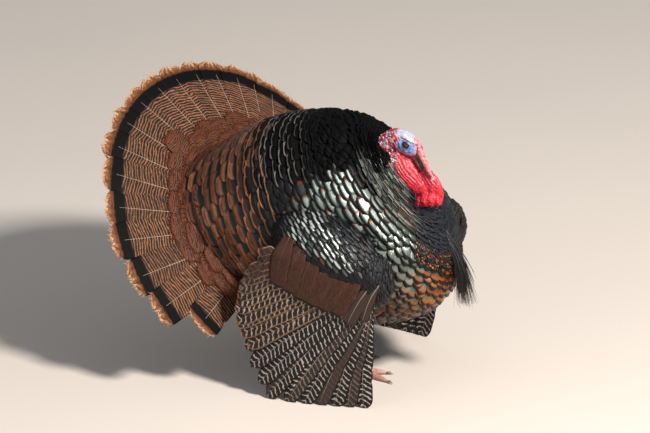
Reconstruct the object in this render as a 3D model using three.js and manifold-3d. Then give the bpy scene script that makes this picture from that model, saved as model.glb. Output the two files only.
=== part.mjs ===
// A displaying tom wild turkey at life size, standing with its wings dropped and its tail fanned.
// Millimetres. +X is the way the bird faces, +Y its left side and +Z up; z = 0 is the ground.
// Every sub-part is one closed solid: feathered forms are modelled out to the tips of their plumage.
import * as THREE from "three";
import { mergeVertices } from "three/addons/utils/BufferGeometryUtils.js";
import Module from "manifold-3d";

const wasm = await Module();
wasm.setup();

// ---------------------------------------------------------------- driving dimensions

const GAP = 0.35; // left between pieces that meet
const FINE = 0.12; // facets smaller than this are joined to their neighbours
const DEG = Math.PI / 180;

// Rings of the feathered body from the neck's mouth to the rump, each one [x, z] on the back,
// [x, z] on the breast or belly, and half the width between.
const BODY_RINGS = [
  { back: [56, 560], front: [178, 408], half: 46 },
  { back: [38, 579], front: [220, 375], half: 84 },
  { back: [12, 590], front: [252, 315], half: 126 },
  { back: [-38, 595], front: [253, 238], half: 162 },
  { back: [-98, 588], front: [200, 166], half: 186 },
  { back: [-166, 570], front: [100, 128], half: 200 },
  { back: [-235, 540], front: [-5, 128], half: 204 },
  { back: [-307, 493], front: [-101, 151], half: 200 },
];
const NECK_CUT = 0.36; // share of the body's rings that belongs to the neck
const BODY_FACETS = 24;
const BODY_SEGMENTS = 20;

// The tail fan: quills meet at the root, and the dish of tips leans back, turns and rolls to the right.
const TAIL = {
  root: [-164, 0, 322],
  radius: 436,
  dish: 100, // how far the tips trail behind a flat disc
  lean: 36 * DEG,
  yaw: 14 * DEG,
  roll: 13.5 * DEG,
  spread: 84.5 * DEG,
  bunch: 15 * DEG, // the left feathers close up and the right ones open by as much
  round: 0.05, // share of the radius lost by the outermost feathers
  shortOuter: 0.18, // and by the outermost right one besides
  feathers: 18,
  width: 88,
  innerRadius: 62,
  thick: 2.2,
  clearance: 8, // behind the rump
  tilt: 1.2, // each vane lies over the next like a shingle
};
const TAIL_COVERTS = { count: 12, inner: 110, outer: 272, width: 100, thick: 4, lift: 8 };
const VENT = { centre: [-206, -6, 244], size: [84, 112, 98] };

// Wings. The hand hangs from the wrist and fans its primaries to the ground; all [x, z] in the wing's surface.
const WING = {
  wrist: [172, 300],
  out: 226, // from the middle of the body to the wrist
  splay: 34, // more than that at the rear of the wing
  tuck: 15, // less than that at the front of the ground line
  reach: 260,
  tilt: 1.5, // each vane lies over the next one like a shingle
};
const PRIMARIES = {
  count: 10,
  first: { right: 263 * DEG, left: 251 * DEG },
  last: 212 * DEG,
  length: 400,
  width: 46,
  thick: 2,
};
const SECONDARIES = {
  count: 10,
  width: 42,
  thick: 2,
  elbow: [-46, 346],
  innerTip: [-92, 336],
  rearTip: [-196, 226], // the tips' curve is drawn towards it
  outerTip: [-134, 122],
  layer: 8,
};
const GREATER_COVERTS = {
  count: 7,
  width: 44,
  thick: 4.5,
  front: [122, 322],
  rear: [-34, 356],
  drop: [76, 128],
  back: 30,
  layer: 15,
};
const SHOULDER = { centre: [38, 336], half: [146, 88], depth: 72, out: 188, turn: 20 * DEG };
const WRIST = { centre: [146, 294], half: [48, 66], depth: 44, out: 196 };

// Head, all in the bird's middle plane unless a side is given.
const SKULL = { from: [76, 545], over: [124, 556], to: [174, 530], tall: 27, wide: 23 };
const BARE_NECK = { from: [72, 542], bend: [126, 488], to: [214, 430], thick: 38, wide: 31 };
const BILL = {
  base: [158, 532],
  tip: [191, 491],
  upper: [7.5, 8.5], // half its height and half its width at the base
  lower: [5, 7],
  lengthLower: 0.84,
  lift: -4.5,
  drop: 7,
  hook: 5,
};
const EYE = { at: [144, 17.2, 555], radius: 7.4 };
const SNOOD = { from: [163, -3, 562], mid: [182, -12, 534], to: [208, -13, 484], thick: 6.2 };
const WATTLE = { centre: [196, 0, 462], size: [24, 12, 40], turn: -35 * DEG, knobs: 7, knob: 13 };

const BEARD = { root: [236, 0, 356], bend: [262, 0, 300], tip: [284, 0, 190], wide: 13, deep: 8 };

const LEGS = {
  right: { foot: [34, -32], toed: -18 * DEG },
  left: { foot: [-60, 46], toed: 12 * DEG },
  hip: [-34, 1.2, 190], // ahead of the foot, share of its distance from the middle, and height
  shank: 9.5,
  // each toe's bearing from the middle one, its length and its half width
  toes: { inner: [34, 66, 7.2], middle: [0, 92, 8], outer: [-36, 74, 7.2], hind: [172, 34, 6] },
  toeRise: 7, // height of a toe's middle line
  claw: [15, 3.6],
  spur: [20, 5],
};

// ---------------------------------------------------------------- solids

const vec = (p) => new THREE.Vector3(...p);
const inPlane = ([x, z], y = 0) => new THREE.Vector3(x, y, z);
const smooth = (t) => {
  const c = Math.min(1, Math.max(0, t));
  return c * c * (3 - 2 * c);
};

/** A closed three.js geometry as a manifold-3d solid. */
function solid(geometry) {
  const bare = geometry.clone();
  bare.deleteAttribute("normal");
  bare.deleteAttribute("uv");
  const merged = mergeVertices(bare, 1e-3);
  return new wasm.Manifold(
    new wasm.Mesh({
      numProp: 3,
      vertProperties: merged.attributes.position.array,
      triVerts: new Uint32Array(merged.index.array),
    }),
  );
}

/** A manifold-3d solid as a three.js geometry. */
function geometryOf(made) {
  const mesh = made.getMesh();
  const points = new Float32Array(mesh.numVert * 3);
  for (let i = 0; i < mesh.numVert; i += 1) {
    points.set(mesh.vertProperties.subarray(i * mesh.numProp, i * mesh.numProp + 3), i * 3);
  }
  const geometry = new THREE.BufferGeometry();
  geometry.setAttribute("position", new THREE.BufferAttribute(points, 3));
  geometry.setIndex(new THREE.BufferAttribute(new Uint32Array(mesh.triVerts), 1));
  geometry.computeVertexNormals();
  return geometry;
}

const union = (pieces) => pieces.reduce((all, piece) => all.add(piece));
const without = (body, ...cutters) => cutters.reduce((left, cutter) => left.subtract(cutter), body);

/** The largest connected piece of a solid that a cut may have left with crumbs. */
const mainPiece = (made) =>
  made.decompose().reduce((best, piece) => (piece.volume() > best.volume() ? piece : best));

/** A sphere geometry whose every vertex moves to place(share from pole to pole, angle round the axis). */
function shapedSphere(around, along, place) {
  const geometry = new THREE.SphereGeometry(1, around, along);
  const position = geometry.attributes.position;
  const unit = new THREE.Vector3();
  for (let i = 0; i < position.count; i += 1) {
    unit.fromBufferAttribute(position, i).normalize();
    const share = Math.acos(Math.min(1, Math.max(-1, unit.y))) / Math.PI;
    const p = place(share, Math.atan2(unit.z, unit.x));
    position.setXYZ(i, p.x, p.y, p.z);
  }
  return geometry;
}

/** Turns a solid right side out if its faces point inwards. */
function facingOut(geometry) {
  const made = solid(geometry);
  if (made.volume() > 0) return made;
  const index = geometry.index.array;
  for (let i = 0; i < index.length; i += 3) [index[i + 1], index[i + 2]] = [index[i + 2], index[i + 1]];
  return solid(geometry);
}

/** A round-ended rod along a curve: radii(share) gives its half width sideways and half height. */
function rod(points, radii, { around = 10, along = 8, side = new THREE.Vector3(0, 1, 0), grow = 0 } = {}) {
  const curve = new THREE.CatmullRomCurve3(points, false, "centripetal");
  const place = (share, angle) => {
    const run = (1 - Math.cos(share * Math.PI)) / 2;
    const ring = Math.sin(share * Math.PI);
    const centre = curve.getPoint(run);
    const forward = curve.getTangent(run);
    const across = side.clone().addScaledVector(forward, -side.dot(forward)).normalize();
    const up = new THREE.Vector3().crossVectors(forward, across);
    const [wide, tall] = radii(run);
    return centre
      .addScaledVector(forward, grow * (2 * run - 1))
      .addScaledVector(across, (wide + grow) * ring * Math.cos(angle))
      .addScaledVector(up, (tall + grow) * ring * Math.sin(angle));
  };
  return facingOut(shapedSphere(around, along, place));
}

/** An ellipsoid, turned about Y. */
function ellipsoid(centre, size, { turn = 0, around = 12, along = 8, grow = 0 } = {}) {
  const geometry = new THREE.SphereGeometry(1, around, along);
  geometry.scale(...size.map((half) => half + grow)).rotateY(turn).translate(...centre);
  return facingOut(geometry);
}

// ---------------------------------------------------------------- body

const ringCurve = (read) =>
  new THREE.CatmullRomCurve3(BODY_RINGS.map(read), false, "catmullrom", 0.5);
const backLine = ringCurve((ring) => inPlane(ring.back));
const frontLine = ringCurve((ring) => inPlane(ring.front));
const halfLine = ringCurve((ring, i) => new THREE.Vector3(i, ring.half, 0));

/** A point of the plumage: t runs from the neck's mouth to the rump, angle 0 is the back. */
function bodyPoint(t, angle, grow = 0) {
  const back = backLine.getPoint(t);
  const front = frontLine.getPoint(t);
  const centre = back.clone().add(front).multiplyScalar(0.5);
  const up = back.clone().sub(front).multiplyScalar(0.5);
  const turn = TAIL.yaw * t ** 4;
  const side = new THREE.Vector3(Math.sin(turn), Math.cos(turn), 0);
  const half = halfLine.getPoint(t).y + grow;
  return centre
    .addScaledVector(up, Math.cos(angle) * (1 + grow / up.length()))
    .addScaledVector(side, half * Math.sin(angle));
}

/** The whole feathered body: the flat neck mouth, the rings, and a hollow rump in front of the fan. */
function plumage(grow = 0) {
  const mouth = 2 / BODY_SEGMENTS;
  const rump = 1 - 2 / BODY_SEGMENTS;
  const mouthFacing = new THREE.Vector3(0.8, 0, 0.6).multiplyScalar(grow);
  const rumpFacing = new THREE.Vector3(-0.86, 0, -0.5).multiplyScalar(grow);
  const neckMiddle = bodyPoint(0, 0).add(bodyPoint(0, Math.PI)).multiplyScalar(0.5);
  const place = (share, angle) => {
    const t = (share - mouth) / (rump - mouth);
    if (t < 1e-6) {
      return neckMiddle.clone().lerp(bodyPoint(0, angle, grow), share / mouth).add(mouthFacing);
    }
    if (t > 1 - 1e-6) {
      return vec(TAIL.root).lerp(bodyPoint(1, angle, grow), (1 - share) / (1 - rump)).add(rumpFacing);
    }
    return bodyPoint(t, angle, grow);
  };
  return facingOut(shapedSphere(BODY_FACETS, BODY_SEGMENTS, place));
}

/** A thin slab across the body where the neck ends. */
function neckCut() {
  const back = backLine.getPoint(NECK_CUT);
  const front = frontLine.getPoint(NECK_CUT);
  const slab = new THREE.BoxGeometry(600, 600, GAP);
  const along = back.clone().sub(front).normalize();
  const across = new THREE.Vector3(0, 1, 0);
  const normal = new THREE.Vector3().crossVectors(along, across);
  slab.applyMatrix4(new THREE.Matrix4().makeBasis(along, across, normal));
  const middle = back.add(front).multiplyScalar(0.5);
  slab.translate(middle.x, middle.y, middle.z);
  return facingOut(slab);
}

// ---------------------------------------------------------------- vanes

/** Half width of a vane, as a share of its widest: narrow at the quill, broad, then a rounded tip. */
function vaneOutline(v, tipShare) {
  const shoulder = 1 - tipShare;
  const body = 0.34 + 0.66 * smooth(v / 0.55);
  if (v <= shoulder) return body;
  const k = (v - shoulder) / tipShare;
  return body * Math.sqrt(Math.max(0.06, 1 - k * k));
}

/**
 * A flat vane with thickness. place(u, v, w) gives the point at u from -1 to 1 across,
 * v from 0 to 1 along, and w from -1 to 1 through the thickness.
 */
function vane(place, tipShare = 0.16) {
  const stations = [0, 0.45, 0.84, 0.96, 1];
  const geometry = new THREE.BoxGeometry(2, stations.length - 1, 2, 1, stations.length - 1, 1);
  const position = geometry.attributes.position;
  for (let i = 0; i < position.count; i += 1) {
    const v = stations[Math.round(position.getY(i) + (stations.length - 1) / 2)];
    const p = place(position.getX(i) * vaneOutline(v, tipShare), v, position.getZ(i));
    position.setXYZ(i, p.x, p.y, p.z);
  }
  return facingOut(geometry);
}

// ---------------------------------------------------------------- tail

const tailFront = new THREE.Vector3(Math.cos(TAIL.lean), 0, Math.sin(TAIL.lean)).applyAxisAngle(
  new THREE.Vector3(0, 0, 1),
  -TAIL.yaw,
);
const tailUp = new THREE.Vector3(-Math.sin(TAIL.lean), 0, Math.cos(TAIL.lean))
  .applyAxisAngle(new THREE.Vector3(0, 0, 1), -TAIL.yaw)
  .applyAxisAngle(tailFront, TAIL.roll);
const tailRight = new THREE.Vector3().crossVectors(tailUp, tailFront).negate();

/** A point of the fan at an angle from its middle pair (right is positive) and a distance from the root. */
function fanPoint(angle, radius, lift) {
  const behind = (TAIL.dish * radius) / TAIL.radius + TAIL.clearance;
  return vec(TAIL.root)
    .addScaledVector(tailUp, Math.cos(angle) * radius)
    .addScaledVector(tailRight, Math.sin(angle) * radius)
    .addScaledVector(tailFront, lift - behind);
}

/** Vanes side by side on the fan's dish, the middle ones lying over the outer ones. */
function fanOfVanes({ count, inner, outer, width, thick, lift, grow = 0, tipShare }) {
  const vanes = [];
  for (let i = 0; i < count; i += 1) {
    const s = 1 - (2 * i) / (count - 1); // 1 is the outermost feather on the right, -1 on the left
    const middle = TAIL.spread * s + TAIL.bunch * s * s;
    const reach = outer * (1 - TAIL.round * s * s - (s > 0 ? TAIL.shortOuter * s ** 10 : 0));
    const overlap = TAIL.tilt * Math.sign(middle);
    const place = (u, v, w) => {
      const radius = inner - grow + (reach - inner + 2 * grow) * v;
      const across = (u * (width / 2 + grow)) / radius;
      return fanPoint(middle + across, radius, lift - overlap * u + w * (thick / 2 + grow));
    };
    vanes.push(vane(place, tipShare));
  }
  return union(vanes);
}

const tailFan = (grow = 0) =>
  fanOfVanes({
    count: TAIL.feathers,
    inner: TAIL.innerRadius,
    outer: TAIL.radius,
    width: TAIL.width,
    thick: TAIL.thick,
    lift: 0,
    grow,
    tipShare: 0.1,
  });

const tailCoverts = (grow = 0) => fanOfVanes({ ...TAIL_COVERTS, grow, tipShare: 0.2 });

// ---------------------------------------------------------------- wings

/** How far the wing's surface stands out from the body's middle plane at x, z. */
function wingOut(x, z) {
  const rear = Math.sin((Math.min(1, Math.max(0, (WING.wrist[0] - x) / WING.reach)) * Math.PI) / 2);
  const low = 1 - Math.min(1, Math.max(0, z / WING.wrist[1]));
  return WING.out + WING.splay * rear - WING.tuck * low * (1 - rear);
}

/** A wing feather from a root to a tip, both [x, z], laid on the wing's surface. */
function wingVane(side, root, tip, { width, thick, layer = 0 }, grow, sag = 0) {
  const from = new THREE.Vector2(...root);
  const to = new THREE.Vector2(...tip);
  const along = to.clone().sub(from);
  const length = along.length();
  along.normalize();
  const across = new THREE.Vector2(-along.y, along.x);
  return vane((u, v, w) => {
    const p = from
      .clone()
      .addScaledVector(along, -grow + (length + 2 * grow) * v)
      .addScaledVector(across, (u * (width + 2 * grow)) / 2 - sag * Math.sin(v * Math.PI));
    const out = wingOut(p.x, p.y) + layer + WING.tilt * u + w * (thick / 2 + grow);
    return new THREE.Vector3(p.x, side * out, p.y);
  });
}

const primaries = (side) => (grow = 0) => {
  const first = side < 0 ? PRIMARIES.first.right : PRIMARIES.first.left;
  const vanes = [];
  for (let i = 0; i < PRIMARIES.count; i += 1) {
    const share = i / (PRIMARIES.count - 1);
    const angle = first + (PRIMARIES.last - first) * share;
    const root = [WING.wrist[0] - 14 * (1 - share), WING.wrist[1] - 62 * (1 - share)];
    const reach = PRIMARIES.length * (1 - 0.1 * share ** 3);
    const tip = [WING.wrist[0] + reach * Math.cos(angle), WING.wrist[1] + reach * Math.sin(angle)];
    // a tip that would reach below the ground stops on it
    const stop = Math.min(1, (root[1] + 2) / Math.max(1, root[1] - tip[1]));
    const end = [root[0] + (tip[0] - root[0]) * stop, root[1] + (tip[1] - root[1]) * stop];
    vanes.push(wingVane(side, root, end, PRIMARIES, grow, 8));
  }
  return union(vanes);
};

const secondaries = (side) => (grow = 0) => {
  const tips = new THREE.QuadraticBezierCurve(
    new THREE.Vector2(...SECONDARIES.outerTip),
    new THREE.Vector2(...SECONDARIES.rearTip),
    new THREE.Vector2(...SECONDARIES.innerTip),
  );
  const vanes = [];
  for (let i = 0; i < SECONDARIES.count; i += 1) {
    const share = i / (SECONDARIES.count - 1);
    const root = [
      WING.wrist[0] - 20 + (SECONDARIES.elbow[0] - WING.wrist[0] + 20) * share,
      WING.wrist[1] + (SECONDARIES.elbow[1] - WING.wrist[1]) * share,
    ];
    const tip = tips.getPoint(share);
    vanes.push(wingVane(side, root, [tip.x, tip.y], SECONDARIES, grow, 5));
  }
  return union(vanes);
};

const greaterCoverts = (side) => (grow = 0) => {
  const vanes = [];
  for (let i = 0; i < GREATER_COVERTS.count; i += 1) {
    const share = i / (GREATER_COVERTS.count - 1);
    const root = GREATER_COVERTS.front.map((value, k) => value + (GREATER_COVERTS.rear[k] - value) * share);
    const drop = GREATER_COVERTS.drop[0] + (GREATER_COVERTS.drop[1] - GREATER_COVERTS.drop[0]) * share;
    const tip = [root[0] - GREATER_COVERTS.back, root[1] - drop];
    vanes.push(wingVane(side, root, tip, GREATER_COVERTS, grow));
  }
  return union(vanes);
};

/** The padded shoulder of smaller coverts that the flight feathers grow from, and the rounded wrist ahead of it. */
const shoulder = (side) => (grow = 0) => {
  const pad = ({ centre, half, depth, out, turn = 0 }, around, along) =>
    ellipsoid([centre[0], side * out, centre[1]], [half[0], depth, half[1]], { turn, around, along, grow });
  return pad(SHOULDER, 16, 10).add(pad(WRIST, 12, 8));
};

// ---------------------------------------------------------------- head

const eye = (side) => (grow = 0) =>
  ellipsoid([EYE.at[0], side * EYE.at[1], EYE.at[2]], [EYE.radius, EYE.radius, EYE.radius], { grow });

function skull(grow = 0) {
  const path = [SKULL.from, SKULL.over, SKULL.to].map((p) => inPlane(p));
  return rod(path, () => [SKULL.wide, SKULL.tall], { around: 14, along: 9, grow });
}

function bareNeck(grow = 0) {
  const path = [BARE_NECK.from, BARE_NECK.bend, BARE_NECK.to].map((p) => inPlane(p));
  const radii = (run) => {
    const share = 1 - 0.42 * smooth((run - 0.45) / 0.55);
    return [BARE_NECK.wide * share, BARE_NECK.thick * share];
  };
  return rod(path, radii, { around: 14, along: 9, grow });
}

const head = (grow = 0) => skull(grow).add(bareNeck(grow));

/** One half of the bill: a rod tapering to the hooked tip, off the bill's middle line by offset. */
function billHalf([tall, wide], length, offset, hook, grow) {
  const base = inPlane(BILL.base);
  const along = inPlane(BILL.tip).sub(base).normalize();
  const down = new THREE.Vector3(along.z, 0, -along.x);
  const reach = inPlane(BILL.tip).distanceTo(base) * length;
  const at = (share, drop) =>
    base.clone().addScaledVector(along, reach * share).addScaledVector(down, drop);
  const path = [at(-0.25, offset), at(0.5, offset), at(1, offset + hook)];
  const radii = (run) => {
    const taper = 1.12 - 0.9 * run ** 1.7;
    return [wide * taper, tall * taper];
  };
  return rod(path, radii, { grow });
}
const billUpper = (grow = 0) => billHalf(BILL.upper, 1, BILL.lift, BILL.hook, grow);
const billLower = (grow = 0) => billHalf(BILL.lower, BILL.lengthLower, BILL.drop, -BILL.hook / 2, grow);

function snood(grow = 0) {
  const radii = (run) => {
    const thick = SNOOD.thick * (0.8 + 0.35 * Math.sin(run * Math.PI));
    return [thick, thick];
  };
  return rod([vec(SNOOD.from), vec(SNOOD.mid), vec(SNOOD.to)], radii, { around: 10, along: 10, grow });
}

/** The throat wattle and the knobs round the foot of the bare neck. */
function wattle(grow = 0) {
  const lobes = [ellipsoid(WATTLE.centre, WATTLE.size, { turn: WATTLE.turn, grow })];
  for (let i = 0; i < WATTLE.knobs; i += 1) {
    const share = i / (WATTLE.knobs - 1);
    const side = i % 2 ? 1 : -1;
    const bulge = Math.sin(share * Math.PI);
    const centre = [176 + 40 * share, side * (12 - 5 * share), 424 + 5 * bulge + 6 * share];
    const size = WATTLE.knob * (0.8 + 0.3 * bulge);
    lobes.push(ellipsoid(centre, [size, size, size * 1.15], { around: 7, along: 5, grow }));
  }
  return union(lobes);
}

function beard(grow = 0) {
  const radii = (run) => [BEARD.wide * (0.45 + 0.75 * run), BEARD.deep * (0.6 + 0.5 * run)];
  return rod([vec(BEARD.root), vec(BEARD.bend), vec(BEARD.tip)], radii, { grow });
}

// ---------------------------------------------------------------- feet

/** A toe runs from the foot's middle along the ground at its own bearing. */
function toePath(leg, [bearing, length]) {
  const angle = leg.toed + bearing * DEG;
  const direction = new THREE.Vector3(Math.cos(angle), Math.sin(angle), 0);
  const start = new THREE.Vector3(...leg.foot, LEGS.toeRise);
  const middle = start.clone().addScaledVector(direction, length * 0.5);
  const end = start.clone().addScaledVector(direction, length);
  start.z = LEGS.toeRise * 1.5;
  end.z = LEGS.toeRise * 0.6;
  return { start, middle, end, direction, across: new THREE.Vector3(-direction.y, direction.x, 0) };
}

const foot = (leg) => (grow = 0) => {
  const toes = Object.values(LEGS.toes).map((toe) => {
    const { start, middle, end, across } = toePath(leg, toe);
    const radii = (run) => [toe[2] * (1.15 - 0.35 * run), toe[2] * (1.2 - 0.4 * run)];
    return rod([start, middle, end], radii, { around: 8, along: 5, side: across, grow });
  });
  const ball = ellipsoid([...leg.foot, 13], [14, 13, 15], { around: 8, along: 5, grow });
  return union([...toes, ball]);
};

const claw = (leg, toe) => (grow = 0) => {
  const { end, direction, across } = toePath(leg, toe);
  const [length, thick] = LEGS.claw;
  const base = end.clone().addScaledVector(direction, -3);
  const middle = end.clone().addScaledVector(direction, length * 0.45);
  const tip = end.clone().addScaledVector(direction, length);
  middle.z = end.z + 1.2;
  tip.z = 2;
  const radii = (run) => [thick * (1.1 - 0.85 * run), thick * (1.1 - 0.85 * run)];
  return rod([base, middle, tip], radii, { around: 6, along: 5, side: across, grow });
};

const shank = (leg) => (grow = 0) => {
  const bottom = new THREE.Vector3(...leg.foot, 14);
  const top = new THREE.Vector3(leg.foot[0] + LEGS.hip[0], leg.foot[1] * LEGS.hip[1], LEGS.hip[2]);
  const radii = (run) => [LEGS.shank + 4 * run, LEGS.shank + 6 * run];
  return rod([bottom, bottom.clone().lerp(top, 0.5), top], radii, { around: 10, along: 6, grow });
};

const spur = (leg) => (grow = 0) => {
  const [length, thick] = LEGS.spur;
  const inward = -Math.sign(leg.foot[1]);
  const from = new THREE.Vector3(leg.foot[0] - 12, leg.foot[1] + inward * 5, 50);
  const to = from.clone().add(new THREE.Vector3(-length, inward * 3, 7));
  const middle = from.clone().lerp(to, 0.5);
  middle.z -= 1.5;
  const radii = (run) => [thick * (1.1 - 0.9 * run), thick * (1.1 - 0.9 * run)];
  return rod([from, middle, to], radii, { around: 6, along: 5, grow });
};

// ---------------------------------------------------------------- the bird

const bird = new THREE.Group();
const finish = (color, roughness, metalness = 0) =>
  new THREE.MeshStandardMaterial({ color, roughness, metalness });
const FINISH = {
  plumage: finish(0x15120f, 0.55, 0.2),
  neck: finish(0x2c2e2b, 0.5, 0.25),
  skin: finish(0xc02634, 0.55),
  crown: finish(0xa33b44, 0.6),
  horn: finish(0x8a7a68, 0.4),
  eye: finish(0x1c0f0a, 0.08),
  beard: finish(0x0d0d0e, 0.6),
  rectrix: finish(0x6e4327, 0.7),
  covert: finish(0x6b3322, 0.65),
  bronze: finish(0x4c4a40, 0.4, 0.35),
  copper: finish(0x5a3021, 0.45, 0.3),
  barred: finish(0x5d5048, 0.7),
  leg: finish(0xc47f74, 0.6),
};

/** Everything below the ground, cut off so that feet and wing tips rest on small flats. */
const underground = () => solid(new THREE.BoxGeometry(2000, 2000, 1000).translate(0, 0, -500));

/** Adds a named sub-part: what is left of a shape, in one piece, once its neighbours have their room. */
function add(name, material, shape, neighbours = []) {
  const cutters = neighbours.map((neighbour) => neighbour(GAP));
  const made = mainPiece(without(shape(), underground(), ...cutters)).asOriginal().simplify(FINE);
  const mesh = new THREE.Mesh(geometryOf(made), material);
  mesh.name = name;
  bird.add(mesh);
}

// body and neck, parted by a thin cut
const [trunkHalf, neckHalf] = without(plumage(), neckCut())
  .decompose()
  .sort((a, b) => b.volume() - a.volume());
add("trunk", FINISH.plumage, () => trunkHalf);
add("neck", FINISH.neck, () => neckHalf);
add("beard", FINISH.beard, beard, [plumage]);

// head
const eyes = [eye(-1), eye(1)];
add("eye_right", FINISH.eye, eyes[0]);
add("eye_left", FINISH.eye, eyes[1]);
add("snood", FINISH.skin, snood);
add("bill_upper", FINISH.horn, billUpper, [snood]);
add("bill_lower", FINISH.horn, billLower, [snood, billUpper]);
add("head", FINISH.crown, head, [plumage, ...eyes, snood, billUpper, billLower]);
add("wattle", FINISH.skin, wattle, [plumage, head, snood, billUpper, billLower]);

// tail
const vent = (grow = 0) => ellipsoid(VENT.centre, VENT.size, { around: 16, along: 10, grow });
add("tail_fan", FINISH.rectrix, tailFan, [plumage]);
add("tail_coverts", FINISH.covert, tailCoverts, [plumage, tailFan]);
add("vent", FINISH.covert, vent, [plumage, tailFan, tailCoverts]);

// wings
for (const [name, side] of [["right", -1], ["left", 1]]) {
  const [hand, arm, greater] = [primaries(side), secondaries(side), greaterCoverts(side)];
  const pad = shoulder(side);
  add(`wing_${name}_shoulder`, FINISH.bronze, pad, [plumage]);
  add(`wing_${name}_primaries`, FINISH.barred, hand, [plumage, pad]);
  add(`wing_${name}_secondaries`, FINISH.barred, arm, [plumage, pad, hand]);
  add(`wing_${name}_greater_coverts`, FINISH.copper, greater, [plumage, pad, arm]);
}

// legs
for (const name of ["right", "left"]) {
  const leg = LEGS[name];
  const claws = ["inner", "middle", "outer", "hind"].map((toe) => [toe, claw(leg, LEGS.toes[toe])]);
  for (const [toe, shape] of claws) add(`claw_${name}_${toe}`, FINISH.horn, shape);
  add(`foot_${name}`, FINISH.leg, foot(leg), claws.map(([, shape]) => shape));
  add(`spur_${name}`, FINISH.horn, spur(leg));
  add(`shank_${name}`, FINISH.leg, shank(leg), [plumage, foot(leg), spur(leg)]);
}

// The frame's origin is the middle of the bird's footprint box, on the ground.
const box = new THREE.Box3().setFromObject(bird);
bird.position.set(-(box.min.x + box.max.x) / 2, -(box.min.y + box.max.y) / 2, 0);

export default bird;
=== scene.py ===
"""A displaying tom wild turkey at life size: its skin, feathers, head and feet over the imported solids.

Sizes are millimetres in the bird's own frame: +x the way it faces, +y its left side, +z up from the
ground, with x = y = 0 between its feet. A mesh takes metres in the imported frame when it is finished.
"""

from __future__ import annotations

import logging
import math
from collections import defaultdict
from dataclasses import dataclass, field
from enum import Enum
from itertools import product
from typing import Callable, Iterator, Protocol, Sequence

import bmesh
import bpy
import numpy as np
from mathutils import Matrix, Vector
from mathutils.kdtree import KDTree

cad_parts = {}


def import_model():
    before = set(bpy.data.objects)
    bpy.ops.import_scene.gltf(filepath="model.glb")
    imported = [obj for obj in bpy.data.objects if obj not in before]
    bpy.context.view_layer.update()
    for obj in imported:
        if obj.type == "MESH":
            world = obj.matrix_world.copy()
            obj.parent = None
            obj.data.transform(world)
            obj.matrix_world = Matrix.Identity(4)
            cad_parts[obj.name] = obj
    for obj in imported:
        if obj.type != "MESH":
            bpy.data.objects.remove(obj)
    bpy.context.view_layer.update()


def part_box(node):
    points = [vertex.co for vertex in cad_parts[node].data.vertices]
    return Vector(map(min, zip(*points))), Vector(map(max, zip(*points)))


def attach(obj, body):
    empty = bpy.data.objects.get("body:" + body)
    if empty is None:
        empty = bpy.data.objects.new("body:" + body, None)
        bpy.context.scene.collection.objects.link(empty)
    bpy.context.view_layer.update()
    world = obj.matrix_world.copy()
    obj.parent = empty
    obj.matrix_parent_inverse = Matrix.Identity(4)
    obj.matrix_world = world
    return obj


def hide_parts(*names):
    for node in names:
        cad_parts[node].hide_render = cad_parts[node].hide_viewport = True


LOG = logging.getLogger("wild_turkey")
DEG = math.pi / 180
SEED = 1863
LEFT_EYE = (144.0, 17.2, 555.0)
RIGHT_EYE = (144.0, -17.2, 555.0)
SNOOD = ((163, -3, 562), (180, -13, 533), (208, -13, 484))
Array = np.ndarray
Pair = tuple[Array, Array]
Colour = tuple[float, float, float, float]
Spot = tuple[float, float, float]
Span = tuple[float, float]
Column = tuple[int, int]
RingPlace = Callable[[Array, Array], Array]
QuillPlace = Callable[[Array, Array, Array], Array]
Radii = Callable[[Array], Pair]
Random = np.random.Generator
Material = bpy.types.Material
Mesh = bpy.types.Mesh
BMesh = bmesh.types.BMesh


# ---------------------------------------------------------------- arithmetic


def unit(vectors: Array) -> Array:
    """Returns the vectors at length one."""
    return vectors / np.maximum(np.linalg.norm(vectors, axis=-1, keepdims=True), 1e-9)


def smooth(value: Array, low: float = 0.0, high: float = 1.0) -> Array:
    """Returns 0 below low, 1 above high and an even S between them."""
    share = np.clip((np.asarray(value, float) - low) / (high - low), 0.0, 1.0)
    return share * share * (3 - 2 * share)


def bell(value: Array, middle: Array | float, width: float) -> Array:
    """Returns 1 at the middle, falling to nought on both sides of it."""
    return np.exp(-(((value - middle) / width) ** 2))


def linear(tone: str) -> Array:
    """Turns a screen colour into the linear one that shaders use.

    Args:
        tone: The colour as "#rrggbb".

    Returns:
        Red, green, blue and an alpha of one.
    """
    screen = np.array([int(tone[i : i + 2], 16) / 255 for i in (1, 3, 5)])
    light = np.where(screen <= 0.04045, screen / 12.92, ((screen + 0.055) / 1.055) ** 2.4)
    return np.append(light, 1.0)


def ripple(points: Array, size: float, seed: int, count: int = 9) -> Array:
    """A smooth seeded noise from about -1 to 1.

    Args:
        points: Places in millimetres.
        size: The length of one swell in millimetres.
        seed: What sets the pattern.
        count: How many plane waves are summed.

    Returns:
        One value for each place.
    """
    rng = np.random.default_rng(seed)
    ways = unit(rng.normal(size=(count, 3))) * (2 * math.pi / size)
    phases = rng.uniform(0, 2 * math.pi, count)
    return np.sin(points @ ways.T + phases).sum(-1) / math.sqrt(count)


def span(knots: Array, share: Array) -> tuple[Array, list[Array]]:
    """Finds where a share lies among a curve's knots.

    Args:
        knots: The points that the curve passes through.
        share: 0 at the first one, 1 at the last.

    Returns:
        How far each share is into its span, and the two knots before it and the two after it.
    """
    padded = np.vstack([2 * knots[0] - knots[1], knots, 2 * knots[-1] - knots[-2]])
    place = np.clip(share, 0.0, 1.0) * (len(knots) - 1)
    first = np.minimum(place.astype(int), len(knots) - 2)
    return (place - first)[..., None], [padded[first + k] for k in range(4)]


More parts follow.
